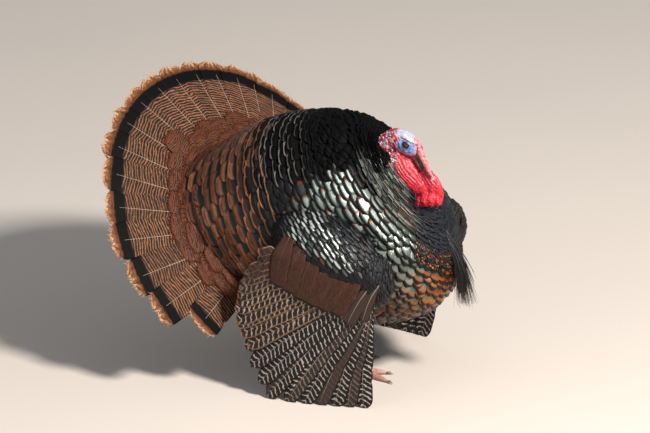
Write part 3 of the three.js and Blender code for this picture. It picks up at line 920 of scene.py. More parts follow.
@dataclass
class Tract:
    """Rows of overlapping small feathers on one surface, laid like shingles.

    Args:
        name: The piece's name.
        surface: What they grow on.
        p_range: Where the first and last rows are rooted.
        q_range: How far round the surface the rows run.
        exposure: Millimetres from row to row at q_check.
        width: The full width of a feather in millimetres.
        paint: Gives each feather's tint and rim.
    """

    name: str
    surface: Surface
    p_range: Span
    q_range: Span
    exposure: float
    width: float
    paint: Painter
    q_check: float = math.pi / 2
    overlap: float = 2.4
    spacing: float = 0.72
    depth: float = 9.0
    proud: float = 0.5
    camber: float = 1.6
    curl: float = 0.0
    thick: float = 0.6
    ruffle: float = 1.0
    stray: float = 0.06
    scatter_along: float = 0.12
    outline: Outline = Outline.BROAD
    template: VaneTemplate = VaneTemplate(4, 5)
    both_sides: bool = False
    seed: int = 0

    def rows(self) -> Array:
        """Returns the p of each row, one exposure apart at q_check."""
        rows = [self.p_range[0]]
        while rows[-1] < self.p_range[1]:
            along, _ = slopes(self.surface, np.array([rows[-1]]), np.array([self.q_check]))
            rows.append(rows[-1] + self.exposure / float(np.linalg.norm(along)))
        return np.array(rows)

    def scatter(self) -> FeatherBatch:
        """Spaces feathers evenly along each row, each row half a feather on from the last."""
        rng = np.random.default_rng(SEED + self.seed)
        rows = self.rows()
        parts: list[Array] = []
        spans = [self.q_range]
        if self.both_sides:
            spans.append((-self.q_range[1], -self.q_range[0]))
        for i, p in enumerate(rows[:-1]):
            for low, high in spans:
                q = np.linspace(low, high, 90)
                line = self.surface.point(np.full(90, p + (rows[i + 1] - p) * 1.5), q)
                run = np.append(0, np.cumsum(np.linalg.norm(np.diff(line, axis=0), axis=1)))
                count = max(1, round(run[-1] / (self.width * self.spacing)))
                at = (np.arange(count) + 0.25 + 0.5 * (i % 2)) / count * run[-1]
                roots = np.interp(at, run, q)
                pitch = np.full(count, rows[i + 1] - p)
                parts.append(np.stack([np.full(count, p), roots, pitch], -1))
        p, q, pitch = np.concatenate(parts).T
        p = p + rng.normal(0, self.scatter_along, len(p)) * pitch
        _, across = slopes(self.surface, p + pitch * self.overlap / 2, q)
        q = q + rng.normal(0, self.width * 0.06, len(p)) / np.linalg.norm(across, axis=-1)
        q = (q + math.pi) % (2 * math.pi) - math.pi
        long = pitch * self.overlap * rng.normal(1, 0.07, len(p))
        half = self.width / 2 / np.linalg.norm(across, axis=-1) * rng.normal(1, 0.06, len(p))
        return FeatherBatch(p, q, long, half, self.surface.point(p + long * 0.7, q), rng.random(len(p)))

    def lay(self, batch: FeatherBatch) -> Pair:
        """Places every feather's vertices.

        Args:
            batch: The feathers.

        Returns:
            The points, feather by feather, and the template's (u, v, w).
        """
        rng = np.random.default_rng(SEED + self.seed + 1)
        spots, _ = self.template.build()
        u, v, w = spots.T
        turn = rng.normal(0, self.stray, len(batch.p))[:, None]
        ratio = (batch.half / batch.long)[:, None]
        p = batch.p[:, None] + batch.long[:, None] * (v - turn / np.maximum(ratio, 0.2) * 0.1 * u)
        wide = u * self.outline.width(v)
        q = batch.q[:, None] + batch.half[:, None] * (wide + 2.0 * turn * v)
        along, across = slopes(self.surface, p, q)
        normal = unit(np.cross(across, along))
        lift = rng.normal(0, 0.35 * self.ruffle, len(batch.p))[:, None]
        height = -self.depth * (1 - v) ** 1.15 + self.proud + lift * v
        height = height + self.camber * (0.5 - u**2) * v + self.curl * v**3
        height = height + w * self.thick * (1 - 0.5 * np.abs(u))
        tilt = rng.normal(0, 0.4 * self.ruffle, len(batch.p))[:, None]
        return self.surface.point(p, q) + normal * (height + tilt * u)[..., None], spots

    def build(self, shop: Workshop, finish: Material, slot: str) -> None:
        """Makes the tract one piece.

        Args:
            shop: What makes the mesh.
            finish: The feathers' material.
            slot: The record's slot for it.
        """
        batch = self.scatter()
        points, spots = self.lay(batch)
        count, size = points.shape[:2]
        tint, rim = self.paint(batch)
        shop.note(self.surface.point(batch.p, batch.q), tint)
        vane = np.empty((count, size, 3))
        vane[..., 0] = -np.sign(batch.q)[:, None] * spots[None, :, 0]
        vane[..., 1] = spots[None, :, 1]
        vane[..., 2] = batch.seed[:, None]
        roots = np.stack([(batch.q / (2 * math.pi)) % 1.0, np.clip(batch.p, 0, 1)], -1) * 0.99 + 0.004
        corners = roots[:, None] + (spots[None, :, :2] * [0.5, 1.0] - [0, 0.5]) * 0.003
        values = {"vane": vane.reshape(-1, 3)}
        values |= {"tint": np.repeat(tint, size, 0), "rim": np.repeat(rim, size, 0)}
        faces = tiled(self.template.build()[1], count, size)
        mesh = shop.mesh(self.name, points.reshape(-1, 3), faces, values, corners.reshape(-1, 2))
        shop.place(mesh, finish, slot)


# ---------------------------------------------------------------- colours of the body


def shade(tones: Sequence[tuple[str, Array]], rng: Random, vary: float = 0.12) -> Array:
    """Blends named tones feather by feather.

    Args:
        tones: Pairs of a colour and each feather's weight in it.
        rng: Where the variation comes from.
        vary: How much the lightness differs between neighbours.

    Returns:
        One colour for each feather.
    """
    weights = np.stack([np.broadcast_to(weight, tones[0][1].shape) for _, weight in tones], -1)
    weights = np.maximum(weights, 0) + 1e-6
    mixed = (weights / weights.sum(-1, keepdims=True)) @ np.stack([linear(tone) for tone, _ in tones])
    mixed[:, :3] *= rng.normal(1, vary, len(mixed)).clip(0.5, 1.6)[:, None]
    mixed[:, 3] = 1
    return mixed.clip(0, 1)


@dataclass(frozen=True)
class Markings:
    """Where the plumage is silver, copper, gold, bronze or black."""

    seed: int = 5

    def rng(self, batch: FeatherBatch) -> Random:
        """Returns the variation for a batch."""
        return np.random.default_rng(self.seed + len(batch.p))

    def neck(self, batch: FeatherBatch) -> Pair:
        """Grey-green with silver lights at the side, black by the back and blue-black in front."""
        rng = self.rng(batch)
        p, round_neck = batch.p, np.abs(batch.q)
        front = smooth(round_neck, 2.05, 2.4)
        top = smooth(round_neck, 1.05, 0.85)
        side = (1 - front) * (1 - top)
        spark = smooth(ripple(batch.root, 24, 2), -0.3, 0.9)
        tint = shade(
            [
                ("#4a4f49", side * 0.9),
                ("#a3aa9c", side * spark * 1.6),
                ("#94552e", side * smooth(round_neck, 1.75, 2.05) * smooth(p, 0.02, 0.12) * 0.9),
                ("#0b0b0c", top * 3.0),
                ("#11151d", front * 3.0),
            ],
            rng, 0.25,
        )
        edges = [("#0a0a0b", 0.6 + 3 * top + front), ("#8b8c7c", spark * side), ("#2b3340", front * 0.7)]
        return tint, shade(edges, rng, 0.3)

    def hairy(self, batch: FeatherBatch) -> Pair:
        """Fine blue-black feathers of the chest, with orange and gold ends along their lower border."""
        rng = self.rng(batch)
        low = smooth(batch.p, 0.24, 0.33)
        chance = rng.random(len(low))
        ones = np.ones(len(low))
        orange, gold = low * (chance < 0.5) * 5, low * (chance > 0.7) * 5
        tint = shade([("#141a24", ones), ("#c0561f", orange), ("#d19b3c", gold)], rng, 0.3)
        rim = shade([("#07080b", ones), ("#3d4b5c", 0.25 * (1 - low))], rng, 0.3)
        return tint, rim

    def breast(self, batch: FeatherBatch) -> Pair:
        """Silver-green at the side, then copper and gold in front, then bronze-brown under the body."""
        rng = self.rng(batch)
        p, round_body = batch.p, np.abs(batch.q)
        low = smooth(p, 0.40, 0.56)
        under = smooth(p, 0.62, 0.8)
        front = smooth(round_body + 0.4 * (p - 0.36), 2.2, 2.55)
        gold = smooth(round_body + 0.4 * (p - 0.36), 2.5, 2.8) * (1 - low)
        chance = rng.random(len(p))
        tint = shade(
            [
                ("#838d81", (1 - gold) * (1 - low) * 1.6),
                ("#4a3626", low * 1.3),
                ("#6f6b5a", low * (1 - under) * (chance < 0.25) * 0.6),
                ("#8a4a24", gold * (chance < 0.5) * 1.6),
                ("#a07a30", gold * (chance >= 0.5) * 1.2),
                ("#1f1712", under * 2.5),
            ],
            rng, 0.22,
        )
        tint[:, 3] = np.clip(front * (1 - 0.7 * low) * (1 - under) * (0.25 + rng.random(len(p))), 0, 1)
        rim = shade([("#060506", np.ones(len(p))), ("#7a6442", low * (chance > 0.5) * 0.8)], rng, 0.3)
        return tint, rim

    def back(self, batch: FeatherBatch) -> Pair:
        """Velvet black, with thin grey and then copper edges towards the rump."""
        rng = self.rng(batch)
        rear = smooth(batch.p, 0.66, 0.76)
        fore = smooth(batch.p, 0.56, 0.40)
        tint = shade([("#050505", 1 - rear), ("#1d110d", rear)], rng, 0.3)
        edges = [("#77706a", (1 - rear) * (1 - fore)), ("#0d0d0e", fore * 3), ("#8f5a38", rear)]
        return tint, shade(edges, rng, 0.35)

    def scapulars(self, batch: FeatherBatch) -> Pair:
        """Pale silver-green blades, black above and behind them."""
        rng = self.rng(batch)
        round_body = np.abs(batch.q)
        edge = 1.0 + 0.5 * smooth(batch.p, 0.34, 0.18) + 0.22 * smooth(batch.p, 0.44, 0.62)
        top = smooth(round_body, edge, edge - 0.1)
        rear = smooth(batch.p, 0.58, 0.64)
        bare = (1 - top) * (1 - rear)
        bright = smooth(ripple(batch.root, 40, 9), -1.4, 0.5)
        blades = [("#969f97", 1.2 * bare * bright), ("#434a45", bare * 0.8), ("#09090a", (top + rear) * 4.0)]
        tint = shade(blades, rng, 0.2)
        rim = shade([("#040404", np.ones(len(rear))), ("#3c3936", 0.3 * rear)], rng, 0.3)
        return tint, rim

    def rump(self, batch: FeatherBatch) -> Pair:
        """Broad glossy copper-brown bands with black between them, blacker towards the flank."""
        rng = self.rng(batch)
        p, round_body = batch.p, np.abs(batch.q)
        fore = smooth(p, 0.80, 0.70) * smooth(round_body, 0.5, 0.95)
        fleck = smooth(ripple(batch.root, 45, 31), 0.0, 1.4)
        bands = [("#6b402d", 1 - fore), ("#a06c4f", fleck * (1 - fore) * 0.9), ("#0d0a09", fore * 3)]
        tint = shade(bands, rng, 0.2)
        rim = shade([("#8a583e", 1 - 0.6 * fore), ("#c09672", fleck * 0.6)], rng, 0.3)
        return tint, rim

    def belly(self, batch: FeatherBatch) -> Pair:
        """Dull dark brown with paler edges."""
        rng = self.rng(batch)
        tint = shade([("#241a14", np.ones(len(batch.p)))], rng, 0.2)
        rim = shade([("#5d4a38", np.ones(len(batch.p)))], rng, 0.2)
        return tint, rim

    def shoulder(self, batch: FeatherBatch) -> Pair:
        """Narrow silver-white painted glints on black, with a dark front and a blue-black border below."""
        rng = self.rng(batch)
        x, _, z = batch.root.T
        high = z + 0.38 * (x - 38)
        low = smooth(high, 362, 336)
        fore = smooth(batch.p, 0.34, 0.24)
        rear = smooth(x, -30, -70)
        plain = np.clip(low + fore * 0.8 + rear * 0.8, 0, 1)
        chance = rng.random(len(x))
        # the silver-white tint paints the sun's glint on each cambered vane
        tint = shade(
            [
                ("#b9beba", (1 - plain) * (0.05 + 0.95 * smooth(chance, 0.25, 0.7))),
                ("#14171c", plain * 5.0 + 0.5 * (chance < 0.4)),
                ("#a5602f", (chance < 0.06) * 3.0 * (1 - plain)),
            ],
            rng, 0.25,
        )
        edges = [("#060607", np.ones(len(x))), ("#1f2c36", low * 0.6), ("#5f6166", fore * 0.5)]
        return tint, shade(edges, rng, 0.3)

    def bend(self, batch: FeatherBatch) -> Pair:
        """Near black with fine lighter edges, browner on the left."""
        rng = self.rng(batch)
        chance = rng.random(len(batch.p))
        left = smooth(batch.root[:, 1], -10, 10)
        tint = shade([("#19191d", 1 - left), ("#1d1815", left)], rng, 0.25)
        edges = [("#4d4c50", (1 - left) * chance), ("#393028", left), ("#0d0d0f", 0.6 * (1 - left))]
        return tint, shade(edges, rng, 0.3)


# ---------------------------------------------------------------- large feathers


@dataclass
class Quill:
    """One large feather.

    Args:
        place: Gives a point for millimetres across, a share along and a height in millimetres.
        length: The feather's length in millimetres.
        width: Its full width.
        seed: A random number from 0 to 1.
        column: Its own place, and how many there are, on the unwrap.
        plain: How plain the left and the right vane are.
        splits: How many gaps its vanes have.
    """

    place: QuillPlace
    length: float
    width: float
    seed: float
    column: Column
    plain: Span = (0.0, 0.0)
    splits: int = 2


@dataclass
class QuillSet:
    """Large feathers of one wing part or the tail, each a cambered slab with a raised shaft.

    Sizes are millimetres; shaft_end and ragged are shares of a feather's length.
    """

    name: str
    template: VaneTemplate = VaneTemplate(8, 44)
    shaft_template: VaneTemplate = VaneTemplate(2, 18)
    outline: Outline = Outline.FLIGHT
    thick: float = 0.7
    camber: float = 1.6
    shaft_width: float = 2.6
    shaft_high: float = 1.3
    shaft_end: float = 0.985
    frays: int = 0
    fray_length: float = 7.0
    ragged: float = 0.004
    parts: dict[str, list[Array]] = field(default_factory=lambda: defaultdict(list))
    total: int = 0

    def add(self, quill: Quill) -> None:
        """Adds the vanes, the shaft and the loose barbs of one feather."""
        rng = np.random.default_rng(SEED + int(quill.seed * 1e6))
        spots, faces = self.template.build()
        u, v, w = spots.T
        shape = self.outline.width(v)
        for _ in range(quill.splits):
            at, way = rng.uniform(0.55, 0.95), rng.choice([-1, 1])
            near = np.exp(-(((v - at) / 0.018) ** 2)) * (u * way > 0.4)
            shape = shape * (1 - 0.12 * near)
        worn = ripple(np.stack([u * 45, np.zeros_like(u), np.full_like(u, quill.seed * 500)], -1), 17, 3)
        along = v + smooth(v, 0.93, 1) * worn * self.ragged
        height = self.camber * (1 - u**2) * smooth(v, 0, 0.2) + w * self.thick * (1 - 0.6 * np.abs(u))
        spot = quill.place(u * shape * quill.width / 2, along, height)
        self.store(quill, spot, spots, faces, quill.plain)
        spots, faces = self.shaft_template.build()
        u, v, w = spots.T
        taper = 1 - 0.72 * v
        ridge = self.camber * smooth(v, 0, 0.2) + self.shaft_high * taper * (1 - u**2) + w * 0.8 - 0.1
        spot = quill.place(u * self.shaft_width / 2 * taper, v * self.shaft_end, ridge)
        self.store(quill, spot, spots * [0.02, 1, 1], faces, shaft=1.0)
        if self.frays:
            self.fray(quill, rng)

    def fray(self, quill: Quill, rng: Random) -> None:
        """Adds loose barbs along the tip of one feather."""
        spots, faces = VaneTemplate(1, 2).build()
        s, t, h = spots.T
        edge = np.linspace(0.6, 1.0, 300)
        widths = self.outline.width(edge)
        for k in range(self.frays):
            u = -0.96 + 1.92 * (k + rng.random() * 0.6) / self.frays
            into = float(edge[widths >= abs(u) * 0.97].max()) - 0.008
            reach = self.fray_length / quill.length * rng.uniform(0.15, 1.0)
            reach *= 0.55 + 0.45 * math.sin(k * 1.3 + quill.seed * 9)
            wide = quill.width / self.frays * rng.uniform(0.35, 0.6)
            lean = rng.normal(0, 0.25) + u * 0.25
            across = u * quill.width / 2 * 0.97 + s * wide * (1 - 0.75 * t) + lean * self.fray_length * t
            height = 1.0 - u * u + 0.2 + h * 0.4 * (1 - t) + rng.normal(0, 0.3) * t
            vane = np.stack([np.full_like(s, u), np.full_like(s, 0.995), h], -1)
            self.store(quill, quill.place(across, into + reach * t, height), vane, faces)

    def store(
        self,
        quill: Quill,
        points: Array,
        spots: Array,
        faces: Array,
        plain: Span = (0.0, 0.0),
        shaft: float = 0.0,
    ) -> None:
        """Keeps one mesh of a feather, with its values and its strip of the unwrap.

        Args:
            quill: The feather.
            points: The mesh's vertices.
            spots: Their places on the vane.
            faces: Its faces.
            plain: How plain the left and the right half are.
            shaft: 1 where it is the shaft.
        """
        u, v, w = spots.T
        index, count = quill.column
        across = (index + 0.5 + 0.45 * np.clip(u, -1, 1)) / count
        along = 0.005 + np.where(w < -0.5, 0.5, 0.0) + np.clip(v, 0, 1) * 0.485
        kind = [np.full_like(u, quill.seed), np.full_like(u, shaft), np.where(u < 0, *plain)]
        self.parts["points"].append(points)
        self.parts["faces"].append(faces + self.total)
        self.parts["vane"].append(np.stack([u, v, v * quill.length], -1))
        self.parts["kind"].append(np.stack(kind, -1))
        self.parts["corners"].append(np.stack([across, along], -1))
        self.total += len(points)

    def build(self, shop: Workshop, finish: QuillFinish, slot: str, node: str) -> None:
        """Joins the feathers into one piece, in place of a solid."""
        made = {key: np.concatenate(part) for key, part in self.parts.items()}
        values = {key: made[key] for key in ("vane", "kind")}
        mesh = shop.mesh(self.name, made["points"], made["faces"], values, made["corners"])
        shop.place(mesh, finish.build(), slot, [node])


@dataclass
class TailFan:
    """The eighteen tail feathers, spread in a dish, and the barred coverts over their base.

    Args:
        tail: The fan's dish.
        feathers: How many quills there are.
        width: A quill's full width.
        tilt: How far one edge lies over the next feather.
        covert_rows: Each row's count, its start and end from the root, and how far in front it lies.
        covert_width: A covert's full width.
        rng: Where all the variation comes from, in turn.
    """

    tail: TailShape
    feathers: int = 18
    width: float = 90.0
    tilt: float = 1.2
    covert_rows: tuple = ((17, 172.0, 282.0, 5.0), (15, 150.0, 256.0, 8.5), (14, 128.0, 232.0, 12.0))
    covert_width: float = 70.0
    rng: Random = field(default_factory=lambda: np.random.default_rng(SEED))

    def feather(
        self, share: float, inner: float, outer: float, width: float, lift: float, seed: float, column: Column
    ) -> Quill:
        """Returns one feather of the fan.

        Args:
            share: Its place from -1, far left, to 1, far right.
            inner: Where it starts, from the root.
            outer: Where the tip of a middle one would be.
            width: Its full width.
            lift: How far in front of the fan's dish it lies.
            seed: A random number.
            column: Its place on the unwrap.
        """
        middle = float(self.tail.middle(np.array(share)))
        length = float(self.tail.reach(np.array(share), outer)) - inner
        overlap = self.tilt * (1 if middle > 0 else -1)
        wander = self.rng.normal(0, 0.007)
        flutter = self.rng.normal(0, 1.4)

        def place(across: Array, along: Array, height: Array) -> Array:
            """Lays the feather on the dish."""
            radius = inner + length * along
            angle = middle + wander * along + across / np.maximum(radius, inner + 0.35 * length)
            shingle = -overlap * across / (width / 2) + flutter * np.clip(along, 0, 1) ** 3
            return self.tail.place(radius, angle, lift + shingle + height - 0.4)

        return Quill(place, length, width, seed, column)

    def quills(self) -> QuillSet:
        """Lays the quills from the far right to the far left."""
        made = QuillSet(
            "tail_feathers", VaneTemplate(22, 60), outline=Outline.TAIL, frays=64, fray_length=15.0,
            shaft_width=2.2, shaft_end=0.915, ragged=0.012,
        )
        for i in range(self.feathers):
            share = 1 - 2 * i / (self.feathers - 1)
            outer = self.tail.radius - 1 + self.rng.normal(0, 2.0)
            column = (i, self.feathers)
            made.add(self.feather(share, self.tail.inner, outer, self.width, 0.0, self.rng.random(), column))
        return made

    def coverts(self) -> QuillSet:
        """Lays the rows of coverts, each in front of the last."""
        made = QuillSet(
            "tail_covert_feathers", VaneTemplate(12, 22), outline=Outline.BROAD, frays=36, fray_length=18.0,
            ragged=0.02, shaft_width=1.2, shaft_high=0.3,
        )
        total = sum(row[0] for row in self.covert_rows)
        places = [(row, i) for row in self.covert_rows for i in range(row[0])]
        for column, ((count, inner, outer, lift), i) in enumerate(places):
            share = (1 - 2 * (i + 0.5) / count) * 1.04
            share += self.rng.normal(0, 0.014)
            reach = outer + self.rng.normal(0, 8)
            width = self.covert_width * self.rng.uniform(0.75, 1.15)
            front = lift + self.rng.normal(0, 0.9)
            made.add(self.feather(share, inner, reach, width, front, self.rng.random(), (column, total)))
        return made

    def build(self, shop: Workshop) -> None:
        """Makes the fan and its coverts in place of their solids."""
        quill = QuillFinish(
            "tail_quill", ground="#1c1918", bar="#8d5c3c", shaft="#a89888", period=6.6, bar_share=0.36,
            slant=1.3, wobble=0.7, soft=0.1, band="#060505", band_from=0.872, tip_bar="#693c24",
            fringe="#8f5d3a", fringe_from=0.968, rough=0.65, gloss=0.08,
        )
        covert = QuillFinish(
            "barred_tail_covert", ground="#54301f", bar="#120b08", shaft="#5e3526", period=4.6,
            bar_share=0.5, slant=1.0, wobble=1.2, soft=0.12, band="#512a1b", band_from=0.93, rough=0.6,
            gloss=0.12,
        )
        self.quills().build(shop, quill, "tail_quills", "tail_fan")
        self.coverts().build(shop, covert, "tail_coverts", "tail_coverts")


@dataclass
class Wing:
    """One hanging wing: its primaries, secondaries, greater coverts and shoulder. Places are x, z.

    Args:
        side: -1 for the right one and 1 for the left.
        surface: What its feathers lie on.
        seed: What sets its variation.
        length: The outermost primary's length, if the ground didn't stop it.
        hand: How many primaries there are.
        fan: Where the outermost primary of the right and of the left wing points, and the innermost.
        worn: How plain the two vanes of some primaries are, for they stand in the way of their bars.
        wrist_feathers: The root, the tip and the width of each plain feather over the wrist.
        forearm: How many secondaries there are.
        elbow: Where the innermost secondary is rooted.
        tips: The curve of the secondaries' tips: the outermost, the rear and the innermost.
        panel: How many greater coverts there are.
        panel_roots: Where the first and the last of them are rooted.
    """

    side: int
    surface: WingSurface
    seed: int = 0
    length: float = 400.0
    hand: int = 10
    fan: Spot = (263.0, 251.0, 212.0)
    worn: dict = field(default_factory=lambda: {1: (0.0, 0.7), 3: (0.96, 0.92), 5: (0.0, 0.6), 6: (0.9, 0.0)})
    wrist_feathers: tuple = (
        ((150.0, 296.0), (92.0, 214.0), 34),
        ((163.0, 303.0), (108.0, 205.0), 38),
        ((176.0, 300.0), (142.0, 214.0), 26),
    )
    forearm: int = 12
    elbow: Span = (-46.0, 346.0)
    tips: tuple = ((-134.0, 122.0), (-196.0, 226.0), (-92.0, 336.0))
    panel: int = 6
    panel_roots: tuple = ((128.0, 326.0), (-32.0, 386.0))

    @property
    def word(self) -> str:
        """The side's name."""
        return "right" if self.side < 0 else "left"

    @property
    def name(self) -> str:
        """What the names of its pieces start with."""
        return f"wing_{self.word}"

    def rng(self, part: int) -> Random:
        """Returns the variation of one part."""
        return np.random.default_rng(SEED + part + self.seed)

    def vane(
        self,
        root: Array,
        tip: Array,
        width: float,
        seed: float,
        column: Column,
        plain: Span,
        layer: float,
        sag: float,
        tilt: float,
        dive: float = 0.0,
    ) -> Quill:
        """Returns one feather, laid on the wing.

        Args:
            root: Where it is rooted.
            tip: Where it ends.
            width: Its full width.
            seed: A random number.
            column: Its place on the unwrap.
            plain: How plain its two vanes are.
            layer: How far outside the wing's middle it lies.
            sag: How far it bows.
            tilt: How far one edge lies over the next feather.
            dive: How far its root is sunk.
        """
        run = tip - root
        length = float(np.linalg.norm(run))
        ahead = run / length
        beside = np.array([-ahead[1], ahead[0]])

        def place(across: Array, along: Array, height: Array) -> Array:
            """Lays the feather on the wing's surface, above the ground."""
            off = across - sag * np.sin(np.clip(along, 0, 1) * math.pi)
            spot = root + ahead * (length * along)[..., None] + beside * off[..., None]
            out = layer + tilt * across / (width / 2) + height - 1.0
            out = out - dive * np.clip(1 - along / 0.42, 0, 1) ** 1.5
            point = self.surface.place(spot[..., 0], spot[..., 1], out)
            point[..., 2] = np.maximum(point[..., 2], 0.3)
            return point

        return Quill(place, length, width, seed, column, plain, splits=3)

    def primaries(self, shop: Workshop) -> None:
        """Makes the hand's feathers, which fan down to the ground, and the plain ones over the wrist."""
        rng = self.rng(31)
        first, last = self.fan[int(self.side > 0)] * DEG, self.fan[2] * DEG
        wrist = np.array(self.surface.wrist)
        columns = self.hand + len(self.wrist_feathers)
        quills = QuillSet(f"{self.name}_primary_feathers", VaneTemplate(6, 48), shaft_width=3.0)
        for i in range(self.hand):
            share = i / (self.hand - 1)
            angle = first + (last - first) * share + rng.normal(0, 0.01)
            root = wrist - np.array([14, 62]) * (1 - share)
            reach = self.length * (1 - 0.1 * share**3)
            tip = wrist + reach * np.array([math.cos(angle), math.sin(angle)])
            stop = min(1.0, (root[1] - 1) / max(1.0, root[1] - tip[1]))
            end = root + (tip - root) * stop
            plain = self.worn.get(i, (0.0, 0.0))
            quills.add(self.vane(root, end, 44, rng.random(), (i, columns), plain, 0.0, 9, 3.0))
        for i, (root, tip, width) in enumerate(self.wrist_feathers):
            column = (self.hand + i, columns)
            ends = np.array([root, tip])
            quills.add(self.vane(*ends, width, rng.random(), column, (1.0, 1.0), 9.0 + 2 * i, 4, 2.0, dive=8))
        # the near-black edge colour paints the shade between neighbouring primaries
        finish = QuillFinish(
            f"barred_primary_{self.word}", ground="#0f0a08", bar="#b5aaa1", shaft="#7d6e62", period=12.5,
            bar_share=0.2, slant=0.8, wobble=0.5, soft=0.08, margin_and_gap_shade="#0a0706", plain_tone="#2d211b",
            rough=0.42,
        )
        quills.build(shop, finish, "wing_barred", f"{self.name}_primaries")

    def secondaries(self, shop: Workshop) -> None:
        """Makes the forearm's feathers and, above them, the buff-edged innermost ones."""
        rng = self.rng(57)
        outer, rear, inner = np.array(self.tips)
        start = np.array(self.surface.wrist) - np.array([20, 0])
        quills = QuillSet(f"{self.name}_secondary_feathers", VaneTemplate(6, 40), shaft_width=2.4)
        for i in range(self.forearm):
            share = i / (self.forearm - 1)
            root = start + (np.array(self.elbow) - start) * share
            tip = outer * (1 - share) ** 2 + rear * 2 * share * (1 - share) + inner * share**2
            tip = tip + rng.normal(0, 3, 2)
            plain = (float(smooth(np.array(share), 0.45, 0.85)) * 0.92,) * 2
            column = (i, self.forearm)
            quills.add(self.vane(root, tip, 38, rng.random(), column, plain, 2.0 + 5 * share, 5, 3.0))
        finish = QuillFinish(
            f"barred_secondary_{self.word}", ground="#180f0b", bar="#bba998", shaft="#7d5c3c", period=14.5,
            bar_share=0.21, slant=0.8, wobble=0.5, soft=0.1, margin_and_gap_shade="#7d6248", fringe="#8a5c34",
            fringe_from=0.98, plain_tone="#2b1b14", rough=0.42,
        )
        quills.build(shop, finish, "wing_barred", f"{self.name}_secondaries")

    def greater_coverts(self, shop: Workshop) -> None:
        """Makes the copper panel across the wing."""
        rng = self.rng(83)
        front, rear = np.array(self.panel_roots)
        quills = QuillSet(
            f"{self.name}_greater_covert_feathers", VaneTemplate(8, 30), outline=Outline.PANEL,
            shaft_width=1.0, shaft_high=0.3,
        )
        for i in range(self.panel):
            share = i / (self.panel - 1)
            root = front + (rear - front) * share
            tip = root - np.array([56 - 36 * share, 100 + 14 * share + rng.normal(0, 4)])
            width = 62 - 14 * share**2
            column = (i, self.panel)
            layer = 13.0 + 0.6 * share
            seed = rng.random()
            quills.add(self.vane(root, tip, width, seed, column, (1.0, 1.0), layer, 4, 2.6, dive=20.0))
        finish = QuillFinish(
            f"copper_covert_{self.word}", ground="#2e1a13", bar="#6a4535", shaft="#6e4c3b", period=9.0,
            band="#0d0806", band_from=0.95, rough=0.34, plain_tone="#27150e", gloss=0.2, streak=3.4,
            barb_scale=13.0,
        )
        quills.build(shop, finish, "wing_copper", f"{self.name}_greater_coverts")

    def shoulder(self, shop: Workshop, markings: Markings, finish: Material) -> None:
        """Makes the small coverts over the forearm and the bend of the wing."""
        mirrored = self.side < 0
        form = shoulder_form(self.side, pole=(0.70, -0.30, 0.65), mirrored=mirrored)
        Tract(
            f"{self.name}_small_coverts", Turned(form), (0.04, 0.84), (-2.4, 2.4), 10.5, 31.0,
            markings.shoulder, q_check=0.0, overlap=2.6, depth=8.0, scatter_along=0.08,
            template=VaneTemplate(4, 4), seed=11 + self.side,
        ).build(shop, finish, "wing_bronze")
        wrist = wrist_form(self.side, pole=(0.95, -0.2, 0.25), mirrored=mirrored)
        edge = ContourFinish(f"wing_bend_{self.word}", dark_from=0.8, rim_from=0.94, rough=0.45, metal=0.2)
        Tract(
            f"{self.name}_bend_coverts", Turned(wrist), (0.03, 0.74), (-2.6, 2.6), 6.0, 24.0,
            markings.bend, q_check=0.0, overlap=2.6, spacing=0.66, depth=6.0, camber=1.0,
            template=VaneTemplate(4, 4), seed=21 + self.side,
        ).build(shop, edge.build(), "wing_bronze")


@dataclass(frozen=True)
class Turned:
    """An ellipsoid with its q turned about where it isn't mirrored, so that its feathers face outwards."""

    form: Ellipsoid

    def point(self, p: Array, q: Array) -> Array:
        """Returns the place at p, q."""
        return self.form.point(p, q * (1 if self.form.mirrored else -1))


# ---------------------------------------------------------------- skin


@dataclass
class Skin:
    """The one skin under the coat, bare on the head, throat, legs and feet.

    Args:
        body: The trunk's plumage.
        coat: How deep the feathers are, in millimetres.
        body_voxel: The mesh size under the feathers.
        deep: How much darker the skin is than the feathers over it, as painted shade under the coat.
    """

    body: BodySurface
    coat: float = 9.0
    body_voxel: float = 5.0
    deep: float = 0.55

    def forms(self) -> list[BMesh]:
        """Returns the closed forms under the feathers."""
        parts = [ball_mesh(lambda s, a: self.body.closed(s, a, -self.coat), 48, 40)]
        rounded = [(vent_form(), 24, 16)]
        for side in (-1, 1):
            rounded += [(shoulder_form(side), 32, 20), (wrist_form(side), 24, 16)]
        for form, around, along in rounded:
            parts.append(ball_mesh(lambda s, a, form=form: form.point(s, a, -self.coat), around, along))
        return parts

    def build(self, shop: Workshop, head: Head, legs: Legs, finish: Material) -> None:
        """Joins the body's, the head's and the legs' skin into one piece."""

        def under(points: Array, _: Array) -> Pair:
            """Leaves the skin under the feathers as it is, in their own markings, darkened as painted shade
            under the coat.
            """
            return points, shop.tint_at(points) * [self.deep, self.deep, self.deep, 1]

        layers = [(remeshed(self.forms(), self.body_voxel), under), *head.layers(), *legs.layers()]
        points, faces, tints, total = [], [], [], 0
        for mesh, dress in layers:
            spots, normals = (np.empty(len(mesh.vertices) * 3, np.float32) for _ in range(2))
            mesh.vertices.foreach_get("co", spots)
            mesh.vertices.foreach_get("normal", normals)
            corners = np.empty(len(mesh.loops), np.int32)
            mesh.loops.foreach_get("vertex_index", corners)
            moved, tint = dress(spots.reshape(-1, 3).astype(float), normals.reshape(-1, 3).astype(float))
            points.append(moved)
            tints.append(tint)
            faces.append(corners.reshape(-1, 4) + total)
            total += len(moved)
            bpy.data.meshes.remove(mesh)
        tint = {"tint": np.concatenate(tints)}
        mesh = shop.mesh("skin", np.concatenate(points), np.concatenate(faces), tint)
        flesh = ["trunk", "neck", "head", "wattle", "snood", "vent"]
        for word in ("right", "left"):
            flesh += [f"shank_{word}", f"foot_{word}", f"wing_{word}_shoulder"]
        shop.place(mesh, finish, "head_skin", flesh)


